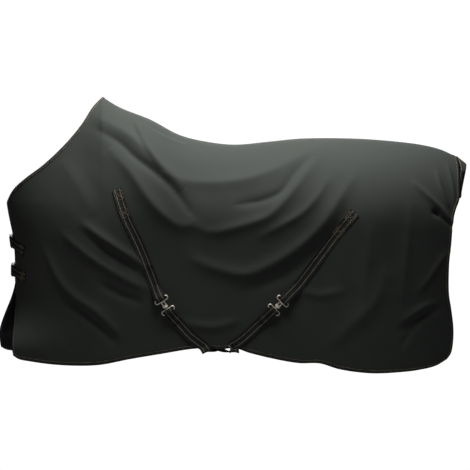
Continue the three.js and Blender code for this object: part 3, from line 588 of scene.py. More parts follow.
class Strap:
    """The route of a webbing: middle line, direction across and facing, every few mm."""

    def __init__(self, middles, acrosses, spacing=0.004):
        line = Line(middles, 16)
        count = max(4, int(line.length / spacing))
        self.share = np.linspace(0, 1, count + 1)
        self.middle = line.at(self.share)
        nodes = np.arange(len(middles)) * 16
        node_share = line.reach[np.minimum(nodes, len(line.reach) - 1)] / line.length
        acrosses = np.array(acrosses, float)
        across = np.stack([np.interp(self.share, node_share, a) for a in acrosses.T], axis=-1)
        along = unit(np.gradient(self.middle, axis=0))
        self.face = unit(np.cross(along, across))
        self.across = unit(np.cross(self.face, along))
        self.length = line.length

    def grid(self, width, spread=5):
        """Points along and across the webbing's middle sheet, and their flat places."""
        v = np.linspace(-0.5, 0.5, spread)
        points = self.middle[:, None] + self.across[:, None] * (v * width)[None, :, None]
        uv = np.stack(np.broadcast_arrays((self.share * self.length)[:, None], (v * width)[None]),
                      axis=-1)
        return points, uv

    def spot(self, along, across, height):
        """A point on the webbing, from its start and from its middle line."""
        share = np.clip(np.asarray(along) / self.length, 0, 1)
        read = [np.stack([np.interp(share, self.share, a) for a in rows.T], axis=-1)
                for rows in (self.middle, self.across, self.face)]
        place = read[0] + read[1] * np.asarray(across)[..., None] + read[2] * height
        return place, read[2]


def webbing_piece(name, strap, width=WEB_WIDTH):
    points, uv = strap.grid(width)
    middle = len(points) // 2
    return cloth_grid(name, points, uv, strap.face[middle], finish_for("striped_webbing"), WEB,
                      offset=0.0)


def aligned(acrosses):
    kept = [np.array(acrosses[0], float)]
    for across in acrosses[1:]:
        across = np.array(across, float)
        kept.append(-across if np.dot(across, kept[-1]) < 0 else across)
    return kept


def stitch_run(bm, points, facings, pitch, length=0.0034, radius=0.00048):
    """Adds a row of short threads along a line on a surface."""
    gaps = np.linalg.norm(np.diff(points, axis=0), axis=1)
    reach = np.concatenate([[0.0], np.cumsum(gaps)])
    for middle in np.arange(pitch, reach[-1] - pitch / 2, pitch):
        place = Vector([np.interp(middle, reach, points[:, k]) for k in range(3)])
        facing = Vector([np.interp(middle, reach, facings[:, k]) for k in range(3)]).normalized()
        ahead = [np.interp(middle + length / 2, reach, points[:, k]) for k in range(3)]
        behind = [np.interp(middle - length / 2, reach, points[:, k]) for k in range(3)]
        along = (Vector(ahead) - Vector(behind)).normalized()
        side = facing.cross(along).normalized()
        turn = Matrix((side, facing, along)).transposed().to_4x4()
        lift = Matrix.Translation(place + facing * radius * 0.5)
        bmesh.ops.create_cone(
            bm, cap_ends=True, segments=6, radius1=radius, radius2=radius, depth=length,
            matrix=lift @ turn)


# ------------------------------------------------------------------ materials
class Finish:
    """A principled material with a few nodes for its pattern."""

    def __init__(self, name, colour, roughness, metallic=0.0):
        self.material = bpy.data.materials.new(name)
        self.material.use_nodes = True
        self.nodes = self.material.node_tree.nodes
        self.links = self.material.node_tree.links
        self.shader = self.nodes["Principled BSDF"]
        self.set("Base Color", (*colour, 1.0))
        self.set("Roughness", roughness)
        self.set("Metallic", metallic)

    def set(self, socket, value):
        self.shader.inputs[socket].default_value = value

    def node(self, kind, **values):
        node = self.nodes.new(kind)
        for key, value in values.items():
            setattr(node, key, value)
        return node

    def join(self, source, target):
        self.links.new(source, target)

    def maths(self, operation, first, second=None, third=None):
        node = self.node("ShaderNodeMath", operation=operation)
        for socket, value in zip(node.inputs, (first, second, third)):
            if value is None:
                continue
            if isinstance(value, (int, float)):
                socket.default_value = value
            else:
                self.join(value, socket)
        return node.outputs[0]

    def coordinates(self, kind="UV"):
        return self.node("ShaderNodeTexCoord").outputs[kind]

    def axes(self, source):
        node = self.node("ShaderNodeSeparateXYZ")
        self.join(source, node.inputs[0])
        return node.outputs

    def noise(self, source, scale, detail=3.0, roughness=0.55):
        node = self.node("ShaderNodeTexNoise")
        node.inputs["Scale"].default_value = scale
        node.inputs["Detail"].default_value = detail
        node.inputs["Roughness"].default_value = roughness
        self.join(source, node.inputs["Vector"])
        return node.outputs["Fac"]

    def wave(self, source, pitch):
        """Swings between -1 and 1 once in every pitch."""
        return self.maths("SINE", self.maths("MULTIPLY", source, 2 * math.pi / pitch))

    def weave(self, u, v, pitch):
        """Height of a plain weave: threads go over and under each other."""
        return self.maths("MULTIPLY", self.wave(u, 2 * pitch), self.wave(v, 2 * pitch))

    def ranged(self, source, low, high):
        node = self.node("ShaderNodeMapRange")
        node.inputs["To Min"].default_value = low
        node.inputs["To Max"].default_value = high
        self.join(source, node.inputs["Value"])
        return node.outputs["Result"]

    def mixed(self, factor, first, second):
        node = self.node("ShaderNodeMix", data_type="RGBA")
        self.join(factor, node.inputs["Factor"])
        for socket, value in ((node.inputs["A"], first), (node.inputs["B"], second)):
            if isinstance(value, tuple):
                socket.default_value = (*value, 1.0)
            else:
                self.join(value, socket)
        return node.outputs["Result"]

    def bump(self, height, distance, strength=1.0):
        node = self.node("ShaderNodeBump")
        node.inputs["Strength"].default_value = strength
        node.inputs["Distance"].default_value = distance
        self.join(height, node.inputs["Height"])
        if self.shader.inputs["Normal"].links:
            self.join(self.shader.inputs["Normal"].links[0].from_socket, node.inputs["Normal"])
        self.join(node.outputs["Normal"], self.shader.inputs["Normal"])

    def colour_from(self, source):
        self.join(source, self.shader.inputs["Base Color"])

    def roughness_from(self, source):
        self.join(source, self.shader.inputs["Roughness"])


def tinted(colour, share):
    return tuple(min(1.0, channel * share) for channel in colour)


def shell_finish():
    """Coated heavy cloth with a coarse weave, satin where light grazes it."""
    settings = bpy.context.scene.rug_cloth
    colour = tuple(bpy.context.scene.rug_colours.shell)
    cloth = Finish("shell_cloth", colour, 0.5)
    u, v, _ = cloth.axes(cloth.coordinates("UV"))
    place = cloth.coordinates("Object")
    weave = cloth.weave(u, v, settings.thread)
    slub = cloth.noise(place, 240.0, 3.0, 0.7)
    patchy = cloth.noise(place, 5.0, 4.0)
    mottle = cloth.noise(place, 120.0, 5.0, 0.75)
    shade = cloth.maths("MULTIPLY_ADD", weave, 0.22, cloth.maths("MULTIPLY_ADD", slub, 1.8, -0.5))
    cloth.colour_from(cloth.mixed(shade, tinted(colour, 0.45), tinted(colour, 1.75)))
    rough = cloth.maths("MULTIPLY_ADD", slub, 0.16, cloth.ranged(patchy, 0.36, 0.46))
    cloth.roughness_from(rough)
    cloth.join(cloth.ranged(mottle, -0.22, 0.72), cloth.shader.inputs["Specular IOR Level"])
    cloth.set("Sheen Weight", 0.03)
    cloth.set("Sheen Roughness", 0.45)
    cloth.bump(weave, 0.00016, 0.8)
    cloth.bump(slub, 0.0012, 0.5)
    return cloth.material


def lining_finish():
    colour = tuple(bpy.context.scene.rug_colours.lining)
    cloth = Finish("lining_cloth", colour, 0.5)
    cloth.set("Specular IOR Level", 0.2)
    u, v, _ = cloth.axes(cloth.coordinates("UV"))
    weave = cloth.weave(u, v, 0.0006)
    quilt = cloth.noise(cloth.coordinates("Object"), 22.0, 2.0)
    cloth.colour_from(cloth.mixed(quilt, tinted(colour, 0.8), tinted(colour, 1.3)))
    cloth.roughness_from(cloth.ranged(quilt, 0.36, 0.52))
    cloth.bump(weave, 0.00008, 0.6)
    cloth.bump(quilt, 0.002, 0.3)
    return cloth.material


def wadding_finish():
    colour = tuple(bpy.context.scene.rug_colours.wadding)
    fill = Finish("wadding_fibre", colour, 0.95)
    fibre = fill.noise(fill.coordinates("Object"), 260.0, 6.0, 0.7)
    fill.colour_from(fill.mixed(fibre, tinted(colour, 0.75), tinted(colour, 1.15)))
    fill.bump(fibre, 0.0015, 0.8)
    return fill.material


def tape_finish():
    colour = tuple(bpy.context.scene.rug_colours.tape)
    tape = Finish("edge_tape", colour, 0.7)
    u, v, _ = tape.axes(tape.coordinates("UV"))
    ribs = tape.weave(u, v, 0.0009)
    dust = tape.noise(tape.coordinates("Object"), 90.0)
    tape.colour_from(tape.mixed(dust, tinted(colour, 0.8), tinted(colour, 1.7)))
    tape.roughness_from(tape.ranged(dust, 0.55, 0.8))
    tape.bump(ribs, 0.0002, 0.8)
    return tape.material


def webbing_finish():
    """Ribbed webbing with two pale pinstripes woven along it."""
    colours = bpy.context.scene.rug_colours
    ground, stripe = tuple(colours.webbing), tuple(colours.stripe)
    web = Finish("striped_webbing", ground, 0.62)
    u, v, _ = web.axes(web.coordinates("UV"))
    across = web.maths("ABSOLUTE", v)
    off_line = web.maths("ABSOLUTE", web.maths("SUBTRACT", across, 0.0088))
    line = web.maths("LESS_THAN", off_line, 0.00105)
    dash = web.maths("GREATER_THAN", web.wave(u, 0.0021), -0.72)
    herringbone = web.weave(web.maths("ADD", u, across), v, 0.0011)
    worn = web.noise(web.coordinates("Object"), 160.0, 3.0)
    base = web.mixed(worn, tinted(ground, 0.8), tinted(ground, 1.6))
    thread = web.mixed(worn, tinted(stripe, 0.55), tinted(stripe, 1.35))
    web.colour_from(web.mixed(web.maths("MULTIPLY", line, dash), base, thread))
    web.roughness_from(web.ranged(worn, 0.5, 0.75))
    web.set("Sheen Weight", 0.02)
    web.set("Specular IOR Level", 0.25)
    web.bump(herringbone, 0.00025, 0.9)
    return web.material


def thread_finish():
    colour = tuple(bpy.context.scene.rug_colours.thread)
    thread = Finish("contrast_thread", colour, 0.7)
    place = thread.coordinates("Object")
    twist = thread.noise(place, 900.0, 2.0)
    soiled = thread.noise(place, 30.0, 3.0)
    thread.colour_from(thread.mixed(soiled, tinted(colour, 0.35), tinted(colour, 1.25)))
    thread.bump(twist, 0.0003, 0.6)
    return thread.material


def metal_finish():
    """Plated metal, a little scuffed and darker where it tarnishes."""
    colour = tuple(bpy.context.scene.rug_colours.metal)
    metal = Finish("plated_metal", colour, 0.42, 0.72)
    place = metal.coordinates("Object")
    tarnish = metal.noise(place, 140.0, 4.0)
    scuff = metal.noise(place, 1400.0, 3.0, 0.7)
    metal.colour_from(metal.mixed(tarnish, tinted(colour, 0.7), tinted(colour, 1.05)))
    metal.roughness_from(metal.maths("MULTIPLY_ADD", scuff, 0.2, metal.ranged(tarnish, 0.34, 0.44)))
    metal.bump(scuff, 0.0001, 0.4)
    return metal.material


FINISH_MAKERS = {
    "shell_cloth": shell_finish,
    "lining_cloth": lining_finish,
    "wadding_fibre": wadding_finish,
    "edge_tape": tape_finish,
    "striped_webbing": webbing_finish,
    "contrast_thread": thread_finish,
    "plated_metal": metal_finish,
}


def finish_for(name):
    """The named material, made the first time it is asked for."""
    return bpy.data.materials.get(name) or FINISH_MAKERS[name]()


def settle(piece, body, *nodes):
    """Lets a piece ride on its body and stand for its frame nodes."""
    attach(piece, body)
    claimed(piece, *nodes)
    return piece


def claimed(piece, *nodes):
    if nodes:
        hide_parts(*nodes)


# ------------------------------------------------------------------ cloth pieces
def make_panels(name, side):
    half = panel(side)
    share = loft(half)[..., None]
    facing = half.normals[ALONG // 2, DOWN // 2]
    shell = cloth_grid(f"{name}_shell", half.points, half.uv, facing,
                       finish_for("shell_cloth"), SHELL)
    under = half.points - half.normals * (SHELL + LAYER_GAP)
    fills = [make_wadding(name, length, first, last, under, half, share)
             for length, (first, last) in WADDING_LENGTHS.items()]
    deep = under - half.normals * (WADDING * share + LAYER_GAP)
    lining = cloth_grid(f"{name}_lining", deep, half.uv, facing,
                        finish_for("lining_cloth"), LINING)
    settle(shell, "rug", f"outer_shell_{name}")
    settle(lining, "rug", f"lining_{name}")


def make_wadding(name, length, first, last, under, half, share):
    """One length of the filling, butted against the next."""
    part = np.s_[first:last + 1]
    points = under[part].copy()
    if first:
        points[0] += unit(points[1] - points[0]) * LAYER_GAP
    facing = half.normals[(first + last) // 2, DOWN // 2]
    fill = cloth_grid(f"{name}_{length}_wadding", points, half.uv[part], facing,
                      finish_for("wadding_fibre"), WADDING, loft_share=share[part][..., 0])
    return settle(fill, "rug", f"wadding_{length}_{name}")


def rim_places():
    """Grid places from the spine down the front, along the hem and up the rear."""
    front = [(0, j, 1, 0) for j in range(DOWN)]
    corner = [(0, DOWN, 1, -1)]
    foot = [(i, DOWN, 0, -1) for i in range(1, ALONG)]
    far_corner = [(ALONG, DOWN, -1, -1)]
    rear = [(ALONG, j, -1, 0) for j in range(DOWN - 1, -1, -1)]
    return front + corner + foot + far_corner + rear


def inward_rows(points, normals, places, width, count=5, depth=9):
    """For each rim place, points and normals at even steps inwards over the cloth."""
    wanted = np.linspace(0, width, count)
    rows = []
    for i, j, di, dj in places:
        steps = np.arange(depth)
        line = points[i + di * steps, j + dj * steps]
        facing = normals[i + di * steps, j + dj * steps]
        reach = np.concatenate([[0.0], np.cumsum(np.linalg.norm(np.diff(line, axis=0), axis=1))])
        both = np.hstack([line, facing])
        rows.append(np.stack([np.interp(wanted, reach, column) for column in both.T], axis=-1))
    rows = np.array(rows)
    return rows[..., :3], unit(rows[..., 3:])


def tape_over(name, rows, facings, depths, finish):
    """Tape folded round an edge: over the cloth, round its rim and back beneath it."""
    out = unit(rows[:, 0] - rows[:, 1])[:, None]
    middle = TAPE_CLEAR + TAPE / 2
    over = rows + facings * middle
    under = rows - facings * (depths[..., None] + middle)
    half = (depths[:, :1, None] + 2 * middle) / 2
    centre = rows[:, :1] + facings[:, :1] * (middle - half)
    reach = TAPE_NOSE + half * 0.6
    bend = [centre + facings[:, :1] * half * math.cos(a) + out * reach * math.sin(a)
            for a in np.radians([25, 57, 90, 123, 155])]
    points = np.concatenate([over[:, ::-1], *bend, under], axis=1)
    piece = cloth_grid(name, points, grid_reach(points), tape_facing(points), finish, TAPE,
                       offset=0.0)
    return piece, over


def tape_facing(points):
    """Facing of the middle square of a grid, so that its sides stay as they are."""
    i, j = (points.shape[0] - 1) // 2, (points.shape[1] - 1) // 2
    return np.cross(points[i + 1, j] - points[i, j], points[i, j + 1] - points[i, j])


def make_bindings(name, side):
    half = panel(side)
    depth = SHELL + LINING + 2 * LAYER_GAP + WADDING * loft(half)
    places = rim_places()
    rows, facings = inward_rows(half.points, half.normals, places, TAPE_WIDTH)
    depths = np.repeat(depth[tuple(np.array(places).T[:2])][:, None], rows.shape[1], axis=1)
    inner = np.linspace(0, 1, rows.shape[1]) * TAPE_WIDTH
    rise = WADDING * (1 - EDGE_LOFT) * smooth(inner / EDGE_TAPER)
    depths = depths + rise[None]
    tape = finish_for("edge_tape")
    neck, hem_part = slice(0, CORNER_ROW + 1), slice(CORNER_ROW, len(places))
    for label, part, node in (("neck_tape", neck, "neck_binding"),
                              ("hem_tape", hem_part, "hem_binding")):
        piece, over = tape_over(f"{name}_{label}", rows[part], facings[part], depths[part], tape)
        settle(piece, "rug", f"{node}_{name}")
        add_tape_stitches(f"{name}_{label}_stitching", over, facings[part], label == "neck_tape")


def add_tape_stitches(name, over, facings, double):
    """Rows of contrast thread along the inner edge of a tape."""
    pitch = bpy.context.scene.rug_cloth.stitch
    bm = bmesh.new()
    raised = over + facings * TAPE / 2
    stitch_run(bm, raised[:, -2], facings[:, -2], pitch)
    if double:
        stitch_run(bm, raised[:, 0], facings[:, 0], pitch, radius=0.0007)
    piece = piece_from(name, bm, finish_for("contrast_thread"))
    settle(piece, "rug")


def flap_point(across, down):
    """The tail flap's shape: it swells at the middle and lies back at its sides."""
    end = spine.at(1)
    out = np.abs(across) ** 1.7
    fall = down ** 1.25
    rising, returning = fall / 0.2, 1.0 - 0.98 * (fall - 0.2) / 0.8
    reach = -np.log(np.exp(-12 * rising) + np.exp(-12 * returning)) / 12
    belly = 0.9 * FLAP_OVERHANG * np.maximum(0.0, reach)
    top = end[1] - 0.055 * out
    bottom = end[1] - FLAP_LENGTH - 0.006 * out
    height = top + (bottom - top) * fall
    width = FLAP_TOP + (FLAP_FOOT - FLAP_TOP) * down
    crease = 0.0035 * np.sin(across * 7.5) * smooth(down / 0.5) * np.abs(across) ** 0.5
    x = end[0] + FLAP_START + belly * (1 - out) - 0.006 * down * out + crease
    return np.stack([x, across * width, height], axis=-1)


def make_tail_flap():
    columns, rows = 96, 60
    across = np.linspace(-1, 1, columns + 1)[:, None] + np.zeros((1, rows + 1))
    down = np.zeros((columns + 1, 1)) + np.linspace(0, 1, rows + 1)[None]
    points = flap_point(across, down)
    normals = grid_normals(points, -1)
    if normals[columns // 2, rows // 2, 0] < 0:
        normals = -normals
    flap = cloth_grid("dock_flap", points, grid_reach(points), normals[columns // 2, rows // 2],
                      finish_for("shell_cloth"), FLAP_CLOTH)
    left = [(0, j, 1, 0) for j in range(1, rows)]
    foot = [(i, rows, 0, -1) for i in range(1, columns)]
    right = [(columns, j, -1, 0) for j in range(rows - 1, 0, -1)]
    places = left + [(0, rows, 1, -1)] + foot + [(columns, rows, -1, -1)] + right
    edge, facings = inward_rows(points, normals, places, TAPE_WIDTH * 0.9)
    depths = np.full(edge.shape[:2], FLAP_CLOTH)
    tape, over = tape_over("dock_flap_tape", edge, facings, depths, finish_for("edge_tape"))
    bm = bmesh.new()
    stitch_run(bm, (over + facings * TAPE / 2)[:, -2], facings[:, -2],
               bpy.context.scene.rug_cloth.stitch)
    seam, seam_facings = points[:, 1] + normals[:, 1] * 0.0001, normals[:, 1]
    stitch_run(bm, seam, seam_facings, bpy.context.scene.rug_cloth.stitch)
    thread = piece_from("dock_flap_stitching", bm, finish_for("contrast_thread"))
    for piece, nodes in ((flap, ["tail_flap"]), (tape, ["tail_flap_binding"]), (thread, [])):
        claimed(piece, *nodes)
        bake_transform(piece)


# ------------------------------------------------------------------ clasps
class Clasp:
    """Where a clasp lies: x along the strap from eye to hook, y across, z outwards."""

    def __init__(self, name):
        self.name = name
        lift, slide = JOINTS[f"{name}_eye_lift"], JOINTS[f"{name}_hook_slide"]
        self.x = -Vector(slide["axis"]).normalized()
        self.y = -Vector(lift["axis"]).normalized()
        self.z = self.x.cross(self.y)
        self.centre = Vector(lift["pos_m"]) + self.x * (BAR_REACH + LOOP_DEPTH)
        turn = Matrix((self.x, self.y, self.z)).transposed().to_4x4()
        self.matrix = Matrix.Translation(self.centre) @ turn

    def at(self, x, y, z):
        return np.array(self.matrix @ Vector((x, y, z)))


def rounded_loop(front, back, height):
    """Middle line of a clasp's wire loop: a rectangle with round corners."""
    corner, middle, half = 0.006, (front + back) / 2, abs(back - front) / 2
    corner = min(corner, half - 0.0005)
    line = []
    for sx, sy, start in ((1, 1, 0), (-1, 1, 90), (-1, -1, 180), (1, -1, 270)):
        for k in range(7):
            a = math.radians(start + 15 * k)
            line.append((middle + sx * (half - corner) + corner * math.cos(a),
                         sy * (LOOP_HALF_WIDTH - corner) + corner * math.sin(a), height))
    return line


def wire_mesh(line, radius, cyclic=True):
    """A round wire along a line."""
    curve = bpy.data.curves.new("wire", "CURVE")
    curve.dimensions = "3D"
    curve.bevel_depth = radius
    curve.bevel_resolution = 4
    curve.use_fill_caps = True
    run = curve.splines.new("POLY")
    run.points.add(len(line) - 1)
    for point, place in zip(run.points, line):
        point.co = (*place, 1.0)
    run.use_cyclic_u = cyclic
    return mesh_of(curve)


def plate_mesh(outlines, thickness, bevel):
    """A flat plate with holes and rounded edges, in the XY plane."""
    curve = bpy.data.curves.new("plate", "CURVE")
    curve.dimensions = "2D"
    curve.fill_mode = "BOTH"
    curve.extrude = thickness / 2 - bevel
    curve.bevel_depth = bevel
    curve.bevel_resolution = 2
    curve.offset = -bevel
    for outline in outlines:
        run = curve.splines.new("POLY")
        run.points.add(len(outline) - 1)
        for point, place in zip(run.points, outline):
            point.co = (*place, 0.0, 1.0)
        run.use_cyclic_u = True
    return mesh_of(curve)


def mesh_of(curve):
    holder = bpy.data.objects.new(curve.name, curve)
    bpy.context.scene.collection.objects.link(holder)
    bpy.context.view_layer.update()
    graph = bpy.context.evaluated_depsgraph_get()
    mesh = bpy.data.meshes.new_from_object(holder.evaluated_get(graph))
    bpy.data.objects.remove(holder)
    return mesh


def joined_piece(name, meshes, matrix, finish, angle=40.0):
    """Joins meshes made about the origin into one piece at its place."""
    bm = bmesh.new()
    for mesh, own in meshes:
        mesh.transform(own)
        bm.from_mesh(mesh)
        bpy.data.meshes.remove(mesh)
    bmesh.ops.remove_doubles(bm, verts=bm.verts[:], dist=0.00001)
    bmesh.ops.recalc_face_normals(bm, faces=bm.faces[:])
    bmesh.ops.transform(bm, matrix=matrix, verts=bm.verts[:])
    return piece_from(name, bm, finish, angle)


def filleted(corners, radius, steps=4):
    """An outline whose corners are rounded by a small radius."""
    line = []
    count = len(corners)
    for k in range(count):
        here = np.array(corners[k], float)
        before = unit(np.array(corners[k - 1]) - here)
        after = unit(np.array(corners[(k + 1) % count]) - here)
        for t in np.linspace(0, 1, steps):
            a, b = here + before * radius, here + after * radius
            line.append(tuple((1 - t) ** 2 * a + 2 * t * (1 - t) * here + t ** 2 * b))
    return line


def make_eye(clasp):
    """The clasp's eye: a wire loop and a slotted plate that ends in a wide lip."""
    bar, stem, lip = -BAR_REACH, 0.0075, 0.010
    outline = [(bar, -stem), (-0.001, -stem), (0.0015, -lip), (LIP_REACH, -lip), (LIP_REACH, lip),
               (0.0015, lip), (-0.001, stem), (bar, stem)]
    slot = [(-0.0115, -0.004), (-0.0115, 0.004), (0.002, 0.004), (0.002, -0.004)]
    plate = plate_mesh([filleted(outline, 0.0009), filleted(slot, 0.0012)], 0.003, 0.0004)
    loop = wire_mesh(rounded_loop(bar, bar - LOOP_DEPTH, 0), WIRE)
    piece = joined_piece(f"{clasp.name}_eye_plate", [(plate, Matrix()), (loop, Matrix())],
                         clasp.matrix, finish_for("plated_metal"))
    settle(piece, f"{clasp.name}_eye", f"{clasp.name}_eye")


def make_hook(clasp):
    """The clasp's hook: it passes under the lip, up through the slot and back over it."""
    t, low, bight, top = 0.003, -HOOK_DROP, 0.0016, 0.0021
    head_x = LIP_REACH + 0.0022
    profile = [(BAR_REACH, low - t / 2), (bight - t, low - t / 2), (bight - t, top + t),
               (head_x, top + t), (head_x, top), (bight, top), (bight, low + t / 2),
               (BAR_REACH, low + t / 2)]
    stem = plate_mesh([filleted(profile, 0.0007)], 0.006, 0.0005)
    loop = wire_mesh(rounded_loop(BAR_REACH, BAR_REACH + LOOP_DEPTH, low), WIRE)
    bm = bmesh.new()
    bmesh.ops.create_uvsphere(bm, u_segments=20, v_segments=12, radius=0.0026)
    for vertex in bm.verts:
        if abs(vertex.co.y) > 0.00001:
            vertex.co.y += math.copysign(HEAD_STRETCH, vertex.co.y)
    head = bpy.data.meshes.new("head")
    bm.to_mesh(head)
    bm.free()
    upright = Matrix.Rotation(math.radians(90), 4, "X")
    seat = Matrix.Translation((head_x - 0.0014, 0, top + 0.0025))
    piece = joined_piece(
        f"{clasp.name}_hook_plate", [(stem, upright), (loop, Matrix()), (head, seat)],
        clasp.matrix, finish_for("plated_metal"))
    settle(piece, f"{clasp.name}_hook", f"{clasp.name}_hook")


def fold_profile(bar_height):
    """Webbing folded round a back bar: distance out from the clasp, and height."""
    clear = WIRE + 0.0003 + WEB / 2
    bar = BAR_REACH + LOOP_DEPTH
    nose = BAR_REACH + WIRE + 0.0006 + WEB / 2 + clear
    under = [(bar + 0.016, -clear - 0.0002), (bar + 0.006, -clear), (bar, -clear), (nose, -clear)]
    bend = [(nose - clear * math.sin(a), -clear * math.cos(a))
            for a in np.radians([30, 60, 90, 120, 150])]
    back = [(nose, clear), (bar, clear), (bar + 0.006, clear - 0.0006)]
    return [(r, bar_height + h) for r, h in under + bend + back]


def fold_route(clasp, sign, bar_height):
    return [clasp.at(sign * r, 0, h) for r, h in fold_profile(bar_height)]


def sewn_back(start, finish, facing):
    """The end of a fold, laid on the webbing that it came from and sewn to it."""
    lift = np.array(facing) * (WEB + 0.0003)
    start, finish = np.array(start), np.array(finish)
    return [start + (finish - start) * t + lift for t in (0.3, 0.55, 0.8)]


def cloth_route(side, shares, lift, spacing=0.012):
    """Middles and across directions of webbing that lies on the folded cloth."""
    line = side_line(shares)
    count = max(2, int(line.length / spacing))
    share = np.linspace(0, 1, count + 1)
    x, z = line.at(share).T
    height = lift(share) if callable(lift) else np.full(x.shape, lift)
    points, normals = on_cloth(side, x, z, height)
    ahead = np.gradient(points, axis=0)
    across = unit(np.cross(normals, ahead))
    return list(points), list(across)


def joined_routes(*routes):
    middles = [point for middles, _ in routes for point in middles]
    acrosses = [across for _, acrosses in routes for across in acrosses]
    return middles, aligned(acrosses)


def box_stitches(bm, strap, start, length, pitch, half=0.0152, height=WEB / 2):
    """A sewn box with a cross in it, on the face of the webbing."""
    corners = [(start, -half), (start + length, -half), (start + length, half), (start, half)]
    runs = [(corners[k], corners[(k + 1) % 4]) for k in range(4)]
    runs += [(corners[0], corners[2]), (corners[1], corners[3])]
    for (s0, v0), (s1, v1) in runs:
        t = np.linspace(0, 1, 12)
        along, across = s0 + (s1 - s0) * t, v0 + (v1 - v0) * t
        points, facings = strap.spot(along, across, height)
        stitch_run(bm, points, facings, pitch, length=0.003)


def make_tab(clasp, route):
    """Webbing sewn to the cloth that folds round the eye's back bar."""
    middles, acrosses = route
    fold = fold_route(clasp, -1, 0)
    end = sewn_back(fold[0], middles[-1], clasp.z)
    w = [np.array(clasp.y)] * (len(fold) + len(end))
    strap = Strap(*joined_routes((middles, acrosses), (fold + end, w)))
    webbing = webbing_piece(f"{clasp.name}_tab_webbing", strap)
    settle(webbing, "rug", f"{clasp.name}_tab")
    return strap


def outward_height(strap, along):
    """Height of the webbing's outer face: its facing may point either way."""
    place, facing = strap.spot(along, 0.0, 0.0)
    outward = np.array([0.0, place[1], 0.0])
    return WEB / 2 if np.dot(facing, outward) > 0 else -WEB / 2


def make_stitching(name, runs):
    """One piece of thread from several sewn boxes: strap, start and length of each."""
    bm = bmesh.new()
    for strap, start, length in runs:
        height = outward_height(strap, start)
        box_stitches(bm, strap, start, length, 0.0042, height=height)
    piece = piece_from(name, bm, finish_for("contrast_thread"))
    settle(piece, "rug")


def belly_route(from_share, to_share, lower):
    """Webbing under the belly from one hem to the other, past the crossing."""
    x0, x1 = from_share * LENGTH, to_share * LENGTH
    cross_x, cross_z = CROSSING_X * LENGTH, -CROSSING_DROP * DROP - lower
    hem_z, start_z = -DROP, -DROP - 0.006
    middles, acrosses = [], []
    steps = 14
    for k in range(steps + 1):
        t = k / steps
        swing = math.sin(math.pi * t)
        reach = (1 - t) * bulge(x0, hem_z) + t * bulge(x1, hem_z) + 0.0082
        near_x = x0 if t < 0.5 else x1
        middles.append(np.array([near_x + (cross_x - near_x) * swing ** 2,
                                 -math.cos(math.pi * t) * reach,
                                 start_z + (cross_z - start_z) * max(0.0, swing)]))
        turned = 0.5 + 0.5 * float(smooth(swing * 5))
        tilt = math.copysign(1.0, near_x - cross_x)
        acrosses.append(unit(np.array([1.0, 0.0, -tilt * (1 - turned)])))
    return middles, acrosses


def flank_lift(length):
    """Height of the far end of a belly strap over the cloth: raised at its adjuster."""
    def lift(share):
        away = np.abs(share - 0.55) * length
        raised = 1 - smooth((away - ADJUSTER_REACH) / 0.09)
        start = 0.003 * (1 - smooth(share * 9))
        return WEB_LIFT + start + (ADJUSTER_LIFT - WEB_LIFT) * raised
    return lift


def make_surcingle(name, own, other, lower):
    clasp = Clasp(f"{name}_surcingle")
    make_eye(clasp)
    make_hook(clasp)
    tab = make_tab(clasp, cloth_route(LEFT, own["above"], WEB_LIFT))
    strap_end = own["below"]
    near = cloth_route(LEFT, strap_end, WEB_LIFT + 0.001)
    inset = -0.008 if lower else 0.008
    belly = belly_route(own["below"][2][0] + 0.008, other["below"][2][0] + inset, lower)
    far_shares = [*other["above"], other["clasp"], *other["below"]][::-1]
    far = cloth_route(RIGHT, far_shares, flank_lift(side_line(far_shares).length))
    fold = fold_route(clasp, 1, -HOOK_DROP)
    back = sewn_back(fold[0], near[0][0], clasp.z)
    loop = ([*back[::-1], *fold[::-1]], [np.array(clasp.y)] * (len(back) + len(fold)))
    whole = Strap(*joined_routes(loop, near, belly, far))
    split = int(np.argmin(np.linalg.norm(whole.middle - np.array(near[0][-1]), axis=1)))
    first, rest = split_strap(whole, split)
    buckle_end = webbing_piece(f"{name}_strap_buckle_end", first)
    claimed(buckle_end, f"{name}_surcingle_loop")
    body_strap = webbing_piece(f"{name}_strap_webbing", rest)
    settle(body_strap, "rug", f"{name}_belly_strap")
    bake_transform(buckle_end)
    top = rest.length
    make_stitching(f"{name}_surcingle_stitching",
                   [(tab, 0.006, 0.036), (tab, 0.075, 0.036), (rest, top - 0.042, 0.036)])


def split_strap(whole, split):
    """Two straps that meet at one place of a longer one."""
    parts = []
    for start, stop in ((0, split + 1), (split, len(whole.middle))):
        part = Strap.__new__(Strap)
        part.middle = whole.middle[start:stop]
        part.across = whole.across[start:stop]
        part.face = whole.face[start:stop]
        reach = whole.share[start:stop] * whole.length
        part.length = reach[-1] - reach[0]
        part.share = (reach - reach[0]) / part.length
        parts.append(part)
    return parts


def make_chest_closure(name):
    clasp = Clasp(name)
    make_eye(clasp)
    make_hook(clasp)
    height, anchor = CHEST_TABS[name]
    edge_x = front_edge_x(height * DROP)
    shares = [((edge_x + CHEST_TAB_LENGTH * t ** 2) / LENGTH, height + (anchor - height) * t)
              for t in (1, 0.87, 0.74, 0.62, 0.5, 0.4)]
    lift = 0.0034
    tab = make_tab(clasp, cloth_route(LEFT, shares, lift, 0.008))
    fold = fold_route(clasp, 1, -HOOK_DROP)
    strap_route = cloth_route(RIGHT, shares[::-1], lift, 0.008)
    back = sewn_back(fold[0], strap_route[0][0], clasp.z)
    loop = ([*back[::-1], *fold[::-1]], [np.array(clasp.y)] * (len(back) + len(fold)))
    strap = Strap(*joined_routes(loop, strap_route))
    piece = webbing_piece(f"{name}_strap_webbing", strap)
    claimed(piece, f"{name}_loop", f"{name}_strap")
    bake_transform(piece)
    make_stitching(f"{name}_stitching", [(tab, 0.003, 0.02)])


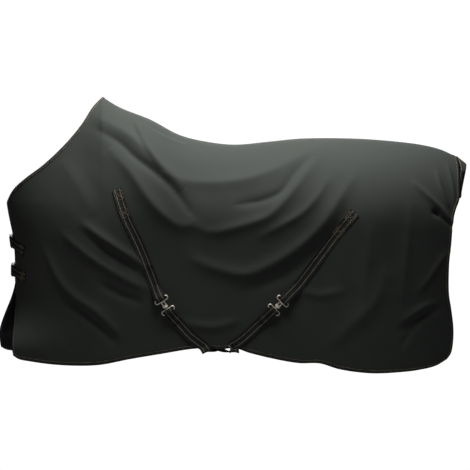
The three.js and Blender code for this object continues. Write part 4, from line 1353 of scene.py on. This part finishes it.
# ------------------------------------------------------------------ small hardware
def refined(node, name, bevel, body):
    """A copy of a frame node with its doubles merged and its edges rounded."""
    bm = bmesh.new()
    bm.from_mesh(frame["nodes"][node].data)
    bmesh.ops.remove_doubles(bm, verts=bm.verts[:], dist=0.00001)
    bmesh.ops.dissolve_limit(bm, angle_limit=math.radians(2), verts=bm.verts[:], edges=bm.edges[:])
    sharp = [edge for edge in bm.edges if edge.is_manifold and edge.calc_face_angle(0) > 0.6]
    bmesh.ops.bevel(bm, geom=sharp, offset=bevel, offset_type="OFFSET", segments=3, profile=0.5,
                    affect="EDGES", material=-1, clamp_overlap=True)
    piece = piece_from(name, bm, finish_for("plated_metal"), 40.0)
    settle(piece, body, node)


def make_leg_ring(name):
    joint = JOINTS[f"leg_ring_{name}_swing"]
    y = Vector(joint["axis"]).normalized()
    origin = Vector(joint["pos_m"])
    side = SIDES[name]
    x, z = LEG_RING_SPOT[0] * LENGTH, LEG_RING_SPOT[1] * DROP
    inward = -Vector(surface_normal(side, np.array(x), np.array(z)))
    down = Vector((0, 0, -1))
    down = (down - inward * down.dot(inward)).normalized()
    bow = [(RING_DEPTH * math.sin(a) ** 0.8, -RING_HALF_WIDTH * math.cos(a), 0.0)
           for a in np.linspace(0, math.pi, 33)]
    turn = Matrix((down, y, down.cross(y))).transposed().to_4x4()
    ring = joined_piece(f"{name}_leg_strap_ring", [(wire_mesh(bow, RING_WIRE), Matrix())],
                        Matrix.Translation(origin) @ turn, finish_for("plated_metal"))
    settle(ring, f"leg_ring_{name}", f"leg_ring_{name}")
    make_ring_tab(name, origin, down, y, inward)


def make_ring_tab(name, origin, down, y, inward):
    """Webbing folded round the straight bar of a ring and sewn inside the lining."""
    clear = RING_WIRE + 0.0003 + WEB / 2
    tab, bar_height = RING_TAB_LENGTH, RING_BAR_HEIGHT
    under = [(-tab, 0.0018 - bar_height), (-tab + 0.012, 0.0019 - bar_height), (-0.010, -clear)]
    bend = [(clear * math.sin(a), -clear * math.cos(a))
            for a in np.radians([0, 35, 70, 110, 145, 180])]
    over = [(-0.010, clear - 0.0008), (-tab + 0.014, 0.0042 - bar_height),
            (-tab + 0.006, 0.0040 - bar_height)]
    middles = [np.array(origin + down * a + inward * h) for a, h in under + bend + over]
    strap = Strap(middles, [np.array(y)] * len(middles), spacing=0.0015)
    piece = webbing_piece(f"{name}_leg_strap_tab", strap, RING_WEB_WIDTH)
    settle(piece, "rug", f"leg_ring_tab_{name}")


# ------------------------------------------------------------------ studio
def area_light(name, place, aim, size, power, colour):
    lamp = bpy.data.lights.new(name, "AREA")
    lamp.shape = "RECTANGLE"
    lamp.size, lamp.size_y = size
    lamp.energy = power
    lamp.color = colour
    holder = bpy.data.objects.new(name, lamp)
    bpy.context.scene.collection.objects.link(holder)
    holder.location = place
    holder.rotation_euler = (Vector(aim) - Vector(place)).to_track_quat("-Z", "Y").to_euler()


def make_camera(studio):
    camera = bpy.data.cameras.new("rug_camera")
    camera.lens = studio.focal
    camera.sensor_width = 36.0
    holder = bpy.data.objects.new("rug_camera", camera)
    bpy.context.scene.collection.objects.link(holder)
    turn, rise = studio.camera_turn, studio.camera_rise
    level = Vector((math.sin(turn), -math.cos(turn), 0.0))
    back = level * math.cos(rise) + Vector((0, 0, math.sin(rise)))
    aim = Vector((0, 0, studio.camera_aim))
    holder.location = aim + back * studio.camera_distance
    holder.rotation_euler = (-back).to_track_quat("-Z", "Y").to_euler()
    bpy.context.scene.camera = holder


def make_world(strength):
    """White all round to look at, and dimmer as a light."""
    world = bpy.data.worlds.new("studio")
    world.use_nodes = True
    nodes, links = world.node_tree.nodes, world.node_tree.links
    nodes.clear()
    seen, light = nodes.new("ShaderNodeBackground"), nodes.new("ShaderNodeBackground")
    light.inputs["Color"].default_value = (0.93, 0.97, 1.0, 1.0)
    light.inputs["Strength"].default_value = strength
    seen.inputs["Color"].default_value = (1.0, 1.0, 1.0, 1.0)
    seen.inputs["Strength"].default_value = 1.05
    rays, mix = nodes.new("ShaderNodeLightPath"), nodes.new("ShaderNodeMixShader")
    out = nodes.new("ShaderNodeOutputWorld")
    links.new(rays.outputs["Is Camera Ray"], mix.inputs[0])
    links.new(light.outputs[0], mix.inputs[1])
    links.new(seen.outputs[0], mix.inputs[2])
    links.new(mix.outputs[0], out.inputs["Surface"])
    bpy.context.scene.world = world


def make_floor():
    bm = bmesh.new()
    bmesh.ops.create_circle(bm, cap_ends=True, segments=96, radius=1.75)
    paper = Finish("floor_paper", (0.36, 0.36, 0.36), 0.95)
    grain = paper.noise(paper.coordinates("Object"), 60.0)
    paper.bump(grain, 0.0004, 0.2)
    bmesh.ops.translate(bm, verts=bm.verts[:], vec=(0, -1.35, -1.4))
    floor = piece_from("floor", bm, paper.material)


# ------------------------------------------------------------------ operators
class RUG_OT_stage(bpy.types.Operator):
    """Make the camera, the lights and the pale floor"""

    bl_idname = "rug.stage"
    bl_label = "Studio"

    def execute(self, context):
        studio = context.scene.rug_studio
        make_camera(studio)
        context.scene.view_settings.view_transform = "Standard"
        make_world(studio.surround)
        make_floor()
        area_light("overhead", (0.0, -0.45, 1.75), (0.0, -0.05, 0.0), (1.2, 1.2), studio.overhead,
                   (0.99, 1.0, 0.99))
        area_light("front_fill", (-4.6, -1.2, 0.6), (-0.3, 0.0, -0.3), (1.6, 1.3),
                   studio.front_fill, (1.0, 0.99, 0.94))
        area_light("rear_fill", (4.0, -1.6, 1.0), (0.8, 0.0, -0.1), (1.0, 1.0),
                   studio.rear_fill, (1.0, 0.99, 0.97))
        area_light("far_fill", (0.3, 4.2, 1.6), (0.0, 0.3, -0.35), (2.4, 1.4),
                   studio.far_fill, (1.0, 0.99, 0.97))
        return {"FINISHED"}


class RUG_OT_panels(bpy.types.Operator):
    """Drape the shell, the wadding and the lining of both halves"""

    bl_idname = "rug.panels"
    bl_label = "Cloth layers"

    def execute(self, context):
        for name, side in SIDES.items():
            make_panels(name, side)
        return {"FINISHED"}


class RUG_OT_bindings(bpy.types.Operator):
    """Fold tape round every edge and sew it down"""

    bl_idname = "rug.bindings"
    bl_label = "Edge tapes"

    def execute(self, context):
        for name, side in SIDES.items():
            make_bindings(name, side)
        return {"FINISHED"}


class RUG_OT_tail_flap(bpy.types.Operator):
    """Hang the flap that covers the top of the tail"""

    bl_idname = "rug.tail_flap"
    bl_label = "Tail flap"

    def execute(self, context):
        make_tail_flap()
        return {"FINISHED"}


class RUG_OT_surcingles(bpy.types.Operator):
    """Run the two crossed surcingles, with their clasps"""

    bl_idname = "rug.surcingles"
    bl_label = "Surcingles"

    def execute(self, context):
        make_surcingle("front", SURCINGLES["front"], SURCINGLES["rear"], 0.0)
        make_surcingle("rear", SURCINGLES["rear"], SURCINGLES["front"], CROSSING_APART)
        return {"FINISHED"}


class RUG_OT_chest(bpy.types.Operator):
    """Close the chest with its two straps and their clasps"""

    bl_idname = "rug.chest"
    bl_label = "Chest straps"

    def execute(self, context):
        for name in CHEST_TABS:
            make_chest_closure(name)
        return {"FINISHED"}


class RUG_OT_adjusters(bpy.types.Operator):
    """Put a sliding adjuster on each belly strap"""

    bl_idname = "rug.adjusters"
    bl_label = "Strap adjusters"

    def execute(self, context):
        for end in SURCINGLES:
            node = f"{end}_belly_strap_adjuster"
            refined(node, f"{end}_strap_slide", 0.0007, node)
        return {"FINISHED"}


class RUG_OT_leg_rings(bpy.types.Operator):
    """Hang the two leg-strap rings under the rear edge"""

    bl_idname = "rug.leg_rings"
    bl_label = "Leg-strap rings"

    def execute(self, context):
        for name in SIDES:
            make_leg_ring(name)
        return {"FINISHED"}


STEPS = [RUG_OT_stage, RUG_OT_panels, RUG_OT_bindings, RUG_OT_tail_flap, RUG_OT_surcingles,
         RUG_OT_chest, RUG_OT_adjusters, RUG_OT_leg_rings]


class RUG_PT_build(bpy.types.Panel):
    """Settings and steps of the rug"""

    bl_label = "Turnout rug"
    bl_space_type = "VIEW_3D"
    bl_region_type = "UI"
    bl_category = "Rug"

    def draw(self, context):
        for group in (context.scene.rug_cloth, context.scene.rug_colours, context.scene.rug_studio):
            box = self.layout.box()
            for key in group.__annotations__:
                box.prop(group, key)
        for step in STEPS:
            self.layout.operator(step.bl_idname)


SETTINGS = {"rug_cloth": RugClothSettings, "rug_colours": RugColourSettings,
            "rug_studio": RugStudioSettings}


def register():
    for group in SETTINGS.values():
        bpy.utils.register_class(group)
    for name, group in SETTINGS.items():
        setattr(bpy.types.Scene, name, PointerProperty(type=group))
    for kind in [*STEPS, RUG_PT_build]:
        bpy.utils.register_class(kind)


def unregister():
    for kind in [RUG_PT_build, *reversed(STEPS)]:
        bpy.utils.unregister_class(kind)
    for name in SETTINGS:
        delattr(bpy.types.Scene, name)
    for group in SETTINGS.values():
        bpy.utils.unregister_class(group)


def plain(box):
    return [[float(value) for value in corner] for corner in box]


def main():
    register()
    bpy.ops.rug.stage()
    bpy.ops.rug.panels()
    bpy.ops.rug.bindings()
    bpy.ops.rug.tail_flap()
    bpy.ops.rug.surcingles()
    bpy.ops.rug.chest()
    bpy.ops.rug.adjusters()
    bpy.ops.rug.leg_rings()


if __name__ == "__main__":
    main()
